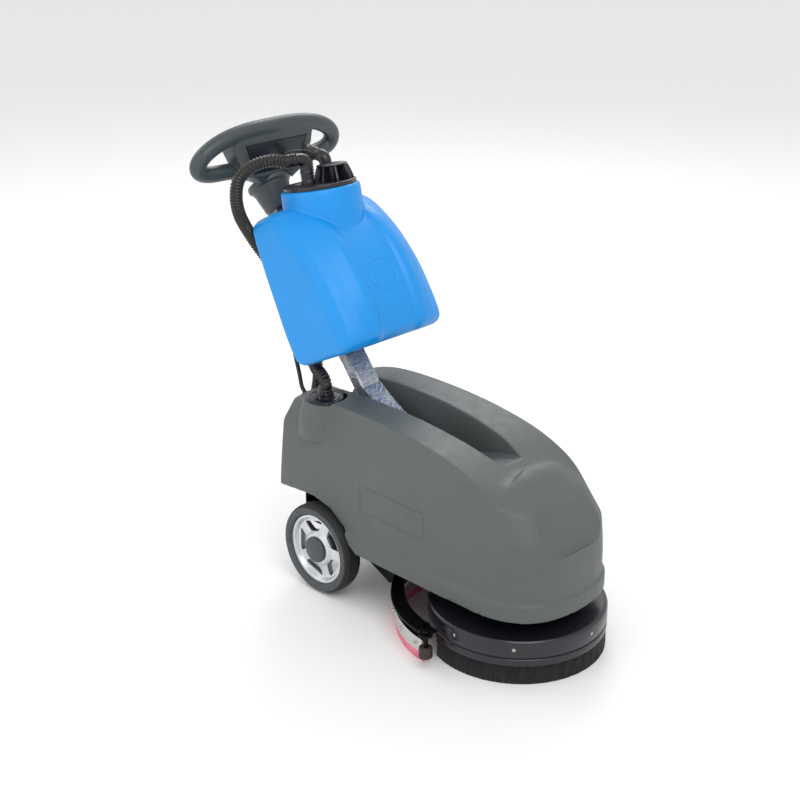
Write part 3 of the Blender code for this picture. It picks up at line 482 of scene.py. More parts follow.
def bake(obj):
    """Applies the modifiers and removes the cutters that they used."""
    graph = bpy.context.evaluated_depsgraph_get()
    graph.update()
    mesh = bpy.data.meshes.new_from_object(obj.evaluated_get(graph))
    tools = [m.object for m in obj.modifiers if m.type == "BOOLEAN"]
    obj.modifiers.clear()
    obj.data = mesh
    for tool in tools:
        bpy.data.objects.remove(tool, do_unlink=True)
    return obj


def soften(obj, voxel, rounds, keep):
    """Remeshes a union evenly, rounds its edges over as a moulding's are, and thins the flat stretches."""
    even = obj.modifiers.new("Even", "REMESH")
    even.mode = "VOXEL"
    even.voxel_size = voxel
    smooth = obj.modifiers.new("Smooth", "SMOOTH")
    smooth.factor = 0.5
    smooth.iterations = rounds
    if keep < 1:
        thin = obj.modifiers.new("Thin", "DECIMATE")
        thin.ratio = keep
    return obj


def settle(obj, look, body, nodes=(), angle=35, blend=None):
    """Final mesh in the frame, with its material, the nodes it stands for and, unless blend is given, the
    body it rides on.
    """
    bake(obj)
    obj.data.transform(Matrix.Translation(SHIFT))
    obj.data.materials.clear()
    obj.data.materials.append(LOOKS[look])
    for face in obj.data.polygons:
        face.material_index = 0
    obj.data.shade_smooth()
    obj.data.set_sharp_from_angle(angle=math.radians(angle))
    if blend:
        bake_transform(obj)
    else:
        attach(obj, body)
    if nodes:
        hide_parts(*nodes)
    return obj


# ------------------------------------------------------------------ body shell

PORT = Vector((-0.105, 0.028, 0.425))
GLAND_FOOT = Vector((-0.086, 0.1025, 0.390))
GLAND_AXIS = Vector((0, 0.60, 0.80))
WALL = 0.005

# Side stations from rear to front: y, height of the shoulder crest, height of the upper crest.
SIDE_STATIONS = [
    (0.050, 0.359, 0.424),
    (-0.020, 0.355, 0.430),
    (-0.110, 0.350, 0.431),
    (-0.210, 0.343, 0.427),
    (-0.300, 0.330, 0.416),
    (-0.380, 0.300, 0.400),
    (-0.455, 0.270, 0.366),
]

# Nose stations round to the centre line: (x, y) of the rim, shoulder, crest, top and inner rings, spine y.
NOSE_STATIONS = [
    ((0.152, -0.507), (0.143, -0.504), (0.119, -0.489), (0.072, -0.464), (0.037, -0.450), -0.436),
    ((0.119, -0.563), (0.111, -0.553), (0.093, -0.521), (0.056, -0.480), (0.028, -0.460), -0.442),
    ((0.060, -0.588), (0.056, -0.574), (0.048, -0.533), (0.030, -0.488), (0.014, -0.465), -0.447),
    ((0.000, -0.592), (0.000, -0.577), (0.000, -0.535), (0.000, -0.490), (0.000, -0.467), -0.449),
]


def body_cage():
    """Half cage, x >= 0: columns run rear centre, side, nose centre; rings run rim, crests, spine."""
    columns = []
    for x in (0.0, 0.080):
        columns.append(
            [
                (x, 0.134, 0.130),
                (x, 0.134, 0.163),
                (x, 0.134, 0.169),
                (x, 0.133, 0.236),
                (x, 0.112, 0.363),
                (x * 0.95, 0.096, 0.398),
                (x * 0.80, 0.084, 0.414),
                (x * 0.40, 0.074, 0.421),
                (0.0, 0.068, 0.423),
            ]
        )
    for x, y in ((0.148, 0.134), (0.161, 0.131), (0.161, 0.113)):
        lean = (y - 0.113) / 0.021
        columns.append(
            [
                (x, y, 0.130),
                (x, y, 0.163),
                (x - 0.007, y, 0.169),
                (x - 0.008, y - 0.001, 0.236),
                (x - 0.011, y - 0.003 - 0.014 * lean, 0.364),
                (x - 0.033, y - 0.014 - 0.016 * lean, 0.409 + 0.004 * (1 - lean)),
                (0.085, y - 0.022 - 0.020 * lean, 0.424),
                (0.045, y - 0.030 - 0.022 * lean, 0.427),
                (0.0, y - 0.034 - 0.022 * lean, 0.427),
            ]
        )
    for y, shoulder, crest in SIDE_STATIONS:
        waist = 0.236 if shoulder > 0.31 else shoulder - 0.055
        columns.append(
            [
                (0.160, y, 0.130),
                (0.160, y, 0.163),
                (0.153, y, 0.169),
                (0.152, y, waist),
                (0.150, y, shoulder),
                (0.128, y, crest + 0.003),
                (0.087, y * 0.99, crest + 0.004),
                (0.045, y * 0.97, crest + 0.002),
                (0.0, y * 0.95, crest + 0.002),
            ]
        )
    for rim, shoulder, crest, top, inner, spine in NOSE_STATIONS:
        x, y = rim
        columns.append(
            [
                (x, y, 0.130),
                (x, y, 0.163),
                (x * 0.965, y + 0.005, 0.169),
                (x * 0.965, y + 0.005, 0.222),
                (*shoulder, 0.284),
                (*crest, 0.340),
                (*top, 0.375),
                (*inner, 0.386),
                (0.0, spine, 0.388),
            ]
        )
    return columns


def hull(name):
    """The moulding's outside, closed below."""
    builder = bmesh.new()
    grid = [[builder.verts.new(p) for p in column] for column in body_cage()]
    floor = [builder.verts.new((0.0, column[0].co.y * 0.96, column[0].co.z)) for column in grid[1:-1]]
    bottom = [grid[0][0]] + floor + [grid[-1][0]]
    for left, right in zip(grid, grid[1:]):
        for low in range(len(left) - 1):
            builder.faces.new((left[low], right[low], right[low + 1], left[low + 1]))
    for i in range(len(grid) - 1):
        corners = [grid[i][0], bottom[i], bottom[i + 1], grid[i + 1][0]]
        builder.faces.new(list(dict.fromkeys(corners)))
    crease = builder.edges.layers.float.new("crease_edge")
    strength = {0: 1.0, 1: 0.9, 2: 0.9, 4: 0.62, 5: 0.55}
    for left, right in zip(grid, grid[1:]):
        for ring, amount in strength.items():
            builder.edges.get((left[ring], right[ring]))[crease] = amount
    bmesh.ops.remove_doubles(builder, verts=builder.verts, dist=0.00001)
    obj = new_object(name, builder)
    mirror = obj.modifiers.new("Mirror", "MIRROR")
    mirror.use_clip = True
    mirror.merge_threshold = 0.0001
    smooth = obj.modifiers.new("Smooth", "SUBSURF")
    smooth.levels = 3
    smooth.render_levels = 3
    return bake(obj)


# Channel stations: y, half width at the floor, half width at the rim, floor height.
CHANNEL_STATIONS = [
    (0.200, 0.042, 0.052, 0.318),
    (0.000, 0.042, 0.052, 0.316),
    (-0.170, 0.042, 0.051, 0.318),
    (-0.260, 0.040, 0.049, 0.345),
    (-0.350, 0.036, 0.045, 0.372),
    (-0.420, 0.026, 0.036, 0.388),
    (-0.452, 0.008, 0.016, 0.396),
]


def channel(name, grown=0.0):
    sections = []
    for y, floor_half, rim_half, floor in CHANNEL_STATIONS:
        a = floor_half + grown
        b = rim_half + grown
        low = floor - grown
        sections.append([(-a, y - grown, low), (a, y - grown, low), (b, y - grown, 0.47),
                         (-b, y - grown, 0.47)])
    return loft(name, sections)


def arch(name):
    outline = [
        (0.200, 0.203), (0.060, 0.214), (0.020, 0.216), (-0.033, 0.204), (-0.074, 0.176),
        (-0.095, 0.144), (-0.117, 0.129), (-0.117, 0.080), (0.200, 0.080),
    ]
    return loft(name, [[(x, y, z) for y, z in outline] for x in (-0.200, 0.200)])


def press_line(obj, near, distance_to_line, width, depth):
    """Sinks a narrow line into the surface where near(point, normal) is true."""
    mesh = obj.data
    for vertex in mesh.vertices:
        if not near(vertex.co, vertex.normal):
            continue
        gap = abs(distance_to_line(vertex.co))
        if gap < width:
            vertex.co -= vertex.normal * depth * (0.5 + 0.5 * math.cos(math.pi * gap / width))


def rectangle_gap(y, z, low, high):
    """Signed distance from a point to a rectangle's outline in the side plane."""
    middle = ((low[0] + high[0]) / 2, (low[1] + high[1]) / 2)
    dy = abs(y - middle[0]) - (high[0] - low[0]) / 2
    dz = abs(z - middle[1]) - (high[1] - low[1]) / 2
    outside = math.hypot(max(dy, 0), max(dz, 0))
    return outside + min(max(dy, dz), 0)


def body_shell():
    shell = hull("grey_body")
    cavity = shell.copy()
    cavity.data = shell.data.copy()
    cavity.name = "cavity"
    bpy.context.scene.collection.objects.link(cavity)
    for vertex in cavity.data.vertices:
        x, y, z = vertex.co
        nose = min(1.0, max(0.0, (-0.300 - y) / 0.120))
        thick = WALL + 0.009 * nose
        depth = 0.948 if y < -0.230 else 0.970
        vertex.co = (x * 0.948, (y + 0.230) * depth - 0.230, z - thick if z > 0.18 else z - 0.030)
    boss = lathe(
        "port_boss",
        [(0, PORT.z), (0.0455, PORT.z), (0.0485, PORT.z - 0.004), (0.0490, 0.415), (0.056, 0.395),
         (0.060, 0.350),
         (0.030, 0.330), (0, 0.330)],
        (PORT.x, PORT.y, 0), bevel=0,
    )
    combine(shell, boss, "UNION")
    gland_line = [(0, 0.010), (0.013, 0.010), (0.013, -0.030), (0, -0.030)]
    combine(shell, lathe("gland_boss", gland_line, GLAND_FOOT, GLAND_AXIS, 48, bevel=0), "UNION")
    combine(shell, lathe("port_face",
                         [(0, 0.460), (0.0465, 0.460), (0.0465, PORT.z - 0.0005), (0, PORT.z - 0.0005)],
                         (PORT.x, PORT.y, 0), bevel=0))
    combine(shell, channel("channel_cut"))
    combine(shell, arch("arch_cut"))
    nose = Matrix.Rotation(math.radians(-26), 3, "X")
    combine(shell, box("nose_recess", (0.166, 0.030, 0.095), (0, -0.5646, 0.301), nose, bevel=0.004))
    combine(cavity, channel("channel_wall", WALL))
    bake(cavity)
    combine(shell, cavity)
    bore = [(0, 0.450), (0.030, 0.450), (0.030, 0.300), (0, 0.300)]
    combine(shell, lathe("port_bore", bore, (PORT.x, PORT.y, 0), bevel=0))
    bake(shell)
    soften(shell, 0.0020, 5, 1)
    bake(shell)
    press_line(
        shell,
        lambda p, n: abs(n.x) > 0.7 and abs(p.x) > 0.13,
        lambda p: rectangle_gap(p.y, p.z, (-0.306, 0.230), (-0.124, 0.288)),
        0.0034, 0.0018,
    )
    thin = shell.modifiers.new("Thin", "DECIMATE")
    thin.ratio = 0.5
    bake(shell)
    settle(shell, "grey_body", "chassis", ["body_shell"], angle=60)


# ------------------------------------------------------------------------ tank

TANK_FOOT = Vector((0.0, 0.066, 0.492))
TANK_TILT = math.radians(28)
NECK = Vector((0.0, 0.149, 0.839))
NECK_TILT = math.radians(12)
NECK_RADIUS = 0.084
COLUMN_FOOT = Vector((0.0, 0.008, 0.427))
COLUMN_HEAD = Vector((0.0, 0.315, 0.814))
COLUMN_WIDTH = 0.055
COLUMN_DEPTH = 0.030

# Tank stations up its rear face: height, half width, and how far forward of the rear plane
# its sides, its ridges and its rear face stand there.
TANK_STATIONS = [
    (0.000, 0.130, 0.150, 0.166, 0.006),
    (0.006, 0.138, 0.163, 0.180, -0.002),
    (0.022, 0.142, 0.170, 0.191, -0.009),
    (0.074, 0.142, 0.168, 0.197, -0.013),
    (0.130, 0.142, 0.161, 0.194, -0.012),
    (0.180, 0.142, 0.147, 0.184, -0.0105),
    (0.220, 0.142, 0.131, 0.168, -0.009),
    (0.256, 0.141, 0.112, 0.147, -0.0075),
    (0.286, 0.140, 0.092, 0.120, -0.006),
    (0.307, 0.136, 0.072, 0.100, -0.004),
    (0.318, 0.122, 0.060, 0.086, 0.004),
]


def column_turn():
    """Local z along the column, local x across the machine."""
    up = (COLUMN_HEAD - COLUMN_FOOT).normalized()
    across = Vector((1, 0, 0))
    return Matrix((across, up.cross(across), up)).transposed()


def column_point(distance, depth=0.0):
    return COLUMN_FOOT + column_turn() @ Vector((0, depth, distance))


def tank_point(x, forward, height):
    up = Vector((0, math.sin(TANK_TILT), math.cos(TANK_TILT)))
    ahead = Vector((0, -math.cos(TANK_TILT), math.sin(TANK_TILT)))
    return TANK_FOOT + Vector((x, 0, 0)) + ahead * forward + up * height


def between(stations, count):
    """Stations with count steps between each pair, on a smooth curve through all their values."""
    padded = [stations[0]] + stations + [stations[-1]]
    fine = []
    for a, b, c, d in zip(padded, padded[1:], padded[2:], padded[3:]):
        for step in range(count):
            t = step / count
            values = []
            for p, q, r, s in zip(a, b, c, d):
                bend = (2 * p - 5 * q + 4 * r - s) * t * t + (3 * q - p - 3 * r + s) * t**3
                values.append(0.5 * (2 * q + (r - p) * t + bend))
            fine.append(tuple(values))
    return fine + [stations[-1]]


def tank_ring(height, half, side, ridge, back, inset=0.0):
    half = half - inset
    side = side - inset
    ridge = ridge - inset
    rear = back + inset
    right = [
        (0.0, rear),
        (half - 0.030, rear),
        (half - 0.008, rear + 0.001),
        (half - 0.001, rear + 0.005),
        (half, rear + 0.014),
        (half, rear + (side - rear) * 0.5),
        (half, side - 0.026),
        (half - 0.003, side - 0.010),
        (half - 0.014, side + 0.001),
        (half - 0.042, side + (ridge - side) * 0.62),
        (0.078, ridge - 0.002),
        (0.069, ridge),
        (0.058, ridge - 0.001),
        (0.049, ridge - 0.0065),
        (0.040, ridge - 0.0075),
        (0.0, ridge - 0.0075),
    ]
    left = [(-x, y) for x, y in reversed(right[1:-1])]
    droop = 0.0055 * max(0.0, 1 - height / 0.05)
    return [tank_point(x, y, height - droop * y / 0.17) for x, y in right + left]


def neck_axis():
    return Vector((0, math.sin(NECK_TILT), math.cos(NECK_TILT)))


def tank():
    shell = loft("blue_tank", [tank_ring(*station) for station in between(TANK_STATIONS, 5)])
    neck = lathe(
        "neck", [(0, 0), (0.079, 0), (0.083, -0.002), (NECK_RADIUS + 0.0005, -0.010), (0.085, -0.060),
                 (0.086, -0.085), (0, -0.085)], NECK, neck_axis(), bevel=0,
    )
    combine(shell, neck, "UNION")
    groove = Vector((COLUMN_WIDTH + 0.010, COLUMN_DEPTH + 0.010, 0.300))
    cover = groove + Vector((0.008, 0.008, 0))
    combine(shell, box("groove", groove, column_point(0.170), column_turn()))
    cavity = loft("inside", [tank_ring(*s, inset=0.005) for s in TANK_STATIONS if 0.005 < s[0] < 0.310])
    combine(cavity, box("groove_cover", cover, column_point(0.170), column_turn()))
    bake(cavity)
    combine(shell, cavity)
    bore = [(0, 0.02), (NECK_RADIUS - 0.008, 0.02), (NECK_RADIUS - 0.008, -0.080), (0, -0.080)]
    combine(shell, lathe("neck_bore", bore, NECK, neck_axis(), bevel=0))
    bake(shell)
    soften(shell, 0.0017, 5, 1)
    bake(shell)
    ahead = Vector((0, -math.cos(TANK_TILT), math.sin(TANK_TILT)))
    up = Vector((0, math.sin(TANK_TILT), math.cos(TANK_TILT)))
    mark = Vector((0, -0.048, 0.692))
    press_line(
        shell,
        lambda p, n: n.dot(ahead) > 0.4 and (p - mark).length < 0.05,
        lambda p: math.hypot(p.x, (p - mark).dot(up)) - 0.034,
        0.0034, 0.0018,
    )
    thin = shell.modifiers.new("Thin", "DECIMATE")
    thin.ratio = 0.55
    bake(shell)
    settle(shell, "blue_tank", "column", ["tank_shell"], angle=60)


# ---------------------------------------------------------------------- wheels


def wheel(name, side):
    """Tyre, five-window rim and hub cap; heights run outwards from the wheel's middle."""
    body = f"wheel_{name}"
    axis = (side, 0, 0)
    centre = (side * WHEEL_X, 0, AXLE_Z)
    half = WHEEL_HALF
    top = WHEEL_RADIUS
    side_line = [
        (0.0786, half - 0.0080), (0.0800, half - 0.0035), (0.0820, half - 0.0008), (0.0845, half - 0.0001),
        (0.0875, half - 0.0010), (0.0885, half - 0.0003), (0.0925, half - 0.0008), (0.0955, half - 0.0030),
        (0.0978, half - 0.0068), (top - 0.0006, half - 0.0120), (top, half - 0.0150),
        (top, 0.0095), (top - 0.0015, 0.0090), (top - 0.0015, 0.0075), (top, 0.0070),
    ]
    other = [(r, -h) for r, h in reversed(side_line)]
    tyre = lathe(f"tyre_tread_{name}", side_line + other, centre, axis, 120, bevel=0, ring=True)
    settle(tyre, "tyre_rubber", body, [f"tyre_{name}"], angle=28)
    rim = lathe(
        f"spoked_rim_{name}",
        [
            (0.0084, 0.0150), (0.0330, 0.0170), (0.0360, 0.0150), (0.0385, 0.0105), (0.0410, 0.0095),
            (0.0640, 0.0075), (0.0672, 0.0085), (0.0700, 0.0140), (0.0720, 0.0175), (0.0770, 0.0178),
            (0.0779, 0.0165), (0.0779, -0.0165), (0.0770, -0.0178), (0.0720, -0.0175), (0.0700, -0.0150),
            (0.0660, -0.0040), (0.0370, -0.0040), (0.0320, -0.0170), (0.0084, -0.0175),
        ],
        centre, axis, 120, bevel=0, ring=True,
    )
    turn = towards(axis)
    for number in range(5):
        rows = []
        for height in (-0.03, 0.03):
            row = []
            for radius, spread in ((0.0400, -15), (0.0400, 15), (0.0430, 19), (0.0610, 25), (0.0655, 22),
                                   (0.0655, -22), (0.0610, -25), (0.0430, -19)):
                angle = math.radians(72 * number + 18 + spread)
                local = Vector((radius * math.cos(angle), radius * math.sin(angle), height))
                row.append(Vector(centre) + turn @ local)
            rows.append(row)
        combine(rim, loft(f"window_{name}_{number}", rows))
    bake(rim)
    round_edges(rim, 0.0008, 2, 40)
    settle(rim, "rim_silver", body, [f"rim_{name}"], angle=50)
    cap = lathe(
        f"hub_cover_{name}",
        [(0, 0.0268), (0.010, 0.0268), (0.0180, 0.0262), (0.0190, 0.0256), (0.0200, 0.0260), (0.0255, 0.0248),
         (0.0282, 0.0232), (0.0290, 0.0210), (0.0290, 0.0186), (0.0120, 0.0186), (0.0120, 0.0215),
         (0, 0.0215)],
        centre, axis, 72, bevel=0.0003,
    )
    settle(cap, "slate_handle", body, [f"hub_cap_{name}"])


# ------------------------------------------------------------------ brush deck

SCREW_ANGLES = (178.6, 219.2, 274.5, 320.8, 361.4)


def screw_heads(name, places, axis_of, radius=0.0042):
    """Domed cross-slot heads, each facing its own way."""
    parts = []
    for number, place in enumerate(places):
        axis = axis_of(place)
        head = lathe(
            f"{name}_{number}",
            [(0, 0.0017), (radius * 0.45, 0.0016), (radius * 0.85, 0.0010), (radius, 0.0002),
             (radius, -0.0010),
             (0, -0.0010)], place, axis, 24, bevel=0,
        )
        turn = towards(axis)
        for slot_turn in (0, math.pi / 2):
            slot_way = turn @ Matrix.Rotation(slot_turn + 0.5, 3, "Z")
            size = (radius * 1.3, radius * 0.28, 0.0016)
            combine(head, box(f"{name}_slot_{number}_{slot_turn:.0f}", size,
                              Vector(place) + Vector(axis) * 0.0016,
                              slot_way))
        parts.append(bake(head))
    return join(name, parts)


def around_brush(degrees, radius, height):
    angle = math.radians(degrees)
    return Vector((radius * math.cos(angle), BRUSH_Y + radius * math.sin(angle), height))


def tufts(name, places, length, thick, lean, sides=5):
    """Bristle tufts as tapering bundles: places are the roots, lean turns the tips outwards."""
    builder = bmesh.new()
    centre = Vector((0, BRUSH_Y, 0))
    for root in places:
        out = (root - centre) * Vector((1, 1, 0))
        out.normalize()
        drift = Vector((CHANCE.uniform(-1, 1), CHANCE.uniform(-1, 1), 0)) * thick * 0.35
        rings = []
        for part, size in ((0.0, 0.55), (0.45, 0.8), (1.0, 1.0)):
            middle = root + out * lean * part * part + drift * part - Vector((0, 0, length * part))
            ring = []
            for k in range(sides):
                angle = 2 * math.pi * (k / sides + 0.1 * part) + root.x * 50
                ring.append(builder.verts.new(middle + Vector((math.cos(angle), math.sin(angle),
                                                               0)) * thick * size / 2))
            rings.append(ring)
        skin(builder, rings)
    return new_object(name, builder)


def brush_deck():
    roof = DECK_TOP - 0.005
    wall = DECK_RADIUS - 0.005
    deck = lathe(
        "deck_cover",
        [
            (0.012, DECK_TOP), (0.120, DECK_TOP), (0.124, DECK_TOP - 0.0012), (0.1740, DECK_TOP - 0.0012),
            (0.1790, DECK_TOP - 0.0022), (0.1818, DECK_TOP - 0.0050), (DECK_RADIUS, DECK_TOP - 0.0095),
            (DECK_RADIUS, 0.0610), (DECK_RADIUS - 0.0008, 0.0590), (DECK_RADIUS - 0.0022, 0.0575),
            (DECK_RADIUS - 0.0022, 0.0562), (wall, 0.0562), (wall, roof), (0.012, roof),
        ],
        (0, BRUSH_Y, 0), steps=160, ring=True, bevel=0.0004,
    )
    settle(deck, "black_plastic", "chassis", ["brush_deck"], angle=28)
    holder = lathe(
        "skirt_rail",
        [(DECK_RADIUS - 0.0022, 0.0556), (DECK_RADIUS - 0.0002, 0.0540), (DECK_RADIUS, 0.0500),
         (DECK_RADIUS, 0.0440), (DECK_RADIUS - 0.0006, 0.0408), (DECK_RADIUS - 0.0020, 0.0400),
         (wall, 0.0400),
         (wall, 0.0556)],
        (0, BRUSH_Y, 0), steps=110, ring=True, first=160, last=380, bevel=0.0003,
    )
    settle(holder, "black_plastic", "chassis", ["skirt_holder"], angle=28)
    roots = []
    for row, radius in enumerate((wall + 0.0010, wall + 0.0024, DECK_RADIUS - 0.0020)):
        spacing = 0.0021 / radius
        count = int(math.radians(220) / spacing)
        for i in range(count):
            roots.append(around_brush(160 + math.degrees((i + 0.33 * row) * spacing), radius, 0.0405))
    skirt = tufts("skirt_tufts", roots, 0.0403, 0.0017, 0.0002, sides=5)
    settle(skirt, "black_bristle", "chassis", ["skirt_bristles"], angle=40)
    places = [around_brush(a, DECK_RADIUS - 0.0010, 0.0765) for a in SCREW_ANGLES]
    screws = screw_heads("deck_screws", places, lambda p: (p - Vector((0, BRUSH_Y, p.z))).normalized())
    settle(screws, "bare_steel", "chassis")


def brush():
    disc = lathe(
        "brush_disc",
        [(0.0, 0.0555), (0.050, 0.0555), (0.054, 0.0530), (0.140, 0.0530), (0.146, 0.0555), (0.160, 0.0555),
         (0.1645, 0.0520), (0.1650, 0.0470), (0.1630, 0.0432), (0.0, 0.0432)],
        (0, BRUSH_Y, 0), steps=120,
    )
    settle(disc, "red_bristle", "brush", ["brush_plate"])
    roots = []
    for number in range(9):
        radius = 0.070 + 0.0112 * number
        count = round(2 * math.pi * radius / 0.0088)
        for i in range(count):
            angle = 360 * (i + 0.5 * (number % 2)) / count
            roots.append(around_brush(angle, radius, 0.0440))
    filled = tufts("brush_tufts", roots, 0.0434, 0.0066, 0.0016, sides=7)
    settle(filled, "red_bristle", "brush", ["brush_bristles"], angle=40)


# ----------------------------------------------------------------------- hoses


def on_lid(x, forward, height):
    """A point over the tank's neck: across, forward of its centre, and above its rim."""
    back = Vector((0, math.cos(NECK_TILT), -math.sin(NECK_TILT)))
    return NECK + Vector((x, 0, 0)) - back * forward + neck_axis() * height


GAP = 0.0003
ELBOWS = {
    "elbow_vacuum": (-0.036, 0.006, 0.060, Vector((-1, 0.10, 0.05)).normalized()),
    "elbow_recovery": (0.036, -0.012, 0.0545, Vector((-0.10, 1, 0.05)).normalized()),
}


def elbow_route(name):
    x, forward, height, heading = ELBOWS[name]
    foot = on_lid(x, forward, 0.0093)
    knee = on_lid(x, forward, height)
    rise = (knee - foot).normalized()
    return [
        foot,
        foot + rise * 0.022,
        knee - rise * 0.006,
        knee + heading * 0.006 + rise * 0.001,
        knee + heading * 0.020 + rise * 0.003,
        knee + heading * 0.036 + rise * 0.003,
    ]


def hose_start(elbow):
    """First two points of a hose that leaves an elbow straight."""
    tip = elbow_route(elbow)[-1]
    heading = ELBOWS[elbow][3]
    return [tip + heading * GAP, tip + heading * 0.015]


CLIP_CENTRE = Vector((-0.062, 0.176, 0.622))
CLIP_HALF = 0.009


def at_clip(x, side):
    """Last two points of a hose that meets the clip square, from above (side 1) or below (-1)."""
    place = Vector((x, CLIP_CENTRE.y, CLIP_CENTRE.z))
    up = (COLUMN_HEAD - COLUMN_FOOT).normalized()
    return [place + up * side * reach for reach in (CLIP_HALF + 0.014, CLIP_HALF + GAP)]


HOSE_ROUTES = {
    "hose_vacuum_upper": hose_start("elbow_vacuum")
    + [
        (-0.118, 0.167, 0.911),
        (-0.150, 0.184, 0.902),
        (-0.172, 0.202, 0.876),
        (-0.174, 0.212, 0.840),
        (-0.164, 0.219, 0.803),
        (-0.140, 0.230, 0.766),
        (-0.112, 0.226, 0.718),
        (-0.094, 0.210, 0.680),
    ]
    + at_clip(-0.080, 1),
    "hose_vacuum_lower": at_clip(-0.080, -1)[::-1]
    + [
        (-0.078, 0.136, 0.552),
        (-0.077, 0.110, 0.503),
        (-0.086, 0.078, 0.476),
        (-0.099, 0.046, 0.471),
        (-0.105, 0.028, 0.4620),
        (-0.105, 0.028, 0.4473),
    ],
    "hose_recovery_upper": hose_start("elbow_recovery")
    + [
        (0.040, 0.232, 0.896),
        (0.052, 0.246, 0.870),
        (0.058, 0.246, 0.820),
        (0.056, 0.246, 0.765),
        (0.052, 0.252, 0.722),
        (0.030, 0.262, 0.690),
        (0.000, 0.252, 0.668),
        (-0.026, 0.231, 0.650),
    ]
    + at_clip(-0.048, 1),
    "hose_recovery_middle": at_clip(-0.048, -1)[::-1]
    + [
        (-0.047, 0.141, 0.555),
        (-0.046, 0.122, 0.500),
        (-0.046, 0.117, 0.440),
        (-0.046, 0.128, 0.380),
        (-0.046, 0.144, 0.300),
        (-0.046, 0.149, 0.200),
        (-0.046, 0.125, 0.112),
        (-0.046, 0.045, 0.073),
        (-0.046, -0.016, 0.070),
        (-0.046, -0.0297, 0.070),
    ],
    "hose_recovery_lower": [
        (-0.046, -0.0503, 0.070),
        (-0.046, -0.064, 0.070),
        (-0.034, -0.092, 0.078),
        (-0.008, -0.120, 0.0925),
        (0.000, -0.134, 0.0945),
        (0.000, -0.1487, 0.0945),
    ],
}
GLAND_TIP = GLAND_FOOT + GLAND_AXIS * 0.0225
CABLE_ROUTE = [
    (-0.062, 0.1992, 0.600),
    (-0.070, 0.183, 0.560),
    (-0.078, 0.158, 0.500),
    (-0.084, 0.134, 0.446),
    GLAND_TIP + GLAND_AXIS * 0.015,
    GLAND_TIP + GLAND_AXIS * GAP,
]
RIB_PITCH = 0.0067
FOLD = Vector((0.0, -0.120, 0.352))
# Each hose's first body, its last, and two places along its route; the hose is neither bent between them nor
# parented to a body.
HOSE_ENDS = {
    "hose_vacuum_upper": ("lid", "column", (-0.100, 0.160, 0.905), (-0.115, 0.217, 0.715)),
    "hose_recovery_upper": ("lid", "column", (0.035, 0.235, 0.895), (0.052, 0.250, 0.740)),
    "hose_vacuum_lower": ("column", "chassis", (-0.078, 0.150, 0.580), (-0.105, 0.028, 0.455)),
    "hose_recovery_middle": ("column", "chassis", (-0.047, 0.150, 0.580), (-0.046, 0.128, 0.380)),
    "hose_recovery_lower": ("chassis", "squeegee", (-0.046, -0.055, 0.070), (0.000, -0.140, 0.0945)),
}


def ribbed(name, route, radius, depth):
    """A corrugated hose with plain cuffs at both ends."""
    even, total = even_route(route, RIB_PITCH / 6)
    cuff = 0.012

    def profile(gone):
        if gone < cuff or gone > total - cuff:
            return radius
        wave = 0.5 - 0.5 * math.cos(2 * math.pi * (gone - cuff) / RIB_PITCH)
        return radius - depth * wave**0.7

    return sweep(name, even, profile, sides=22)


def hoses():
    for node, route in HOSE_ROUTES.items():
        first, last, start, end = HOSE_ENDS[node]
        radius = 0.0119 if "recovery" in node else 0.0139
        hose = ribbed(node.replace("hose", "ribbed_hose"), route, radius, 0.0024)
        settle(hose, "hose", first, [node], angle=50, blend=(last, start, end))
    even, _ = even_route(CABLE_ROUTE, 0.003)
    loom = sweep("wire_loom", even, lambda gone: 0.0046 + 0.0003 * math.sin(gone * 900), sides=14)
    settle(loom, "hose", "column", ["cable_loom"], angle=60,
           blend=("chassis", (-0.070, 0.183, 0.560), GLAND_TIP + GLAND_AXIS * 0.01))


# ---------------------------------------------------------------------- handle

PANEL_Y = 0.352


def handle_loop_points():
    half = [
        (0.000, 0.300, 0.943), (0.060, 0.300, 0.942), (0.112, 0.301, 0.935), (0.150, 0.305, 0.922),
        (0.177, 0.311, 0.904), (0.187, 0.318, 0.884), (0.178, 0.324, 0.867), (0.150, 0.327, 0.858),
        (0.105, 0.326, 0.856), (0.050, 0.322, 0.853), (0.000, 0.320, 0.852),
    ]
    return [Vector(p) for p in half + [(-x, y, z) for x, y, z in reversed(half[1:-1])]]


def closed_route(points, count):
    """Catmull-Rom points round a closed loop."""
    smooth = []
    total = len(points)
    for i in range(total):
        a, b, c, d = (points[(i + k) % total] for k in (-1, 0, 1, 2))
        for step in range(count):
            t = step / count
            bend = (2 * a - 5 * b + 4 * c - d) * t * t + (3 * b - a - 3 * c + d) * t**3
            smooth.append(0.5 * (2 * b + (c - a) * t + bend))
    return smooth


def pod_section(z, half, front, rear, corner=0.012):
    return [
        (-half + corner, front, z), (half - corner, front, z), (half, front + corner, z),
        (half, rear - corner, z), (half - corner, rear, z), (-half + corner, rear, z),
        (-half, rear - corner, z), (-half, front + corner, z),
    ]


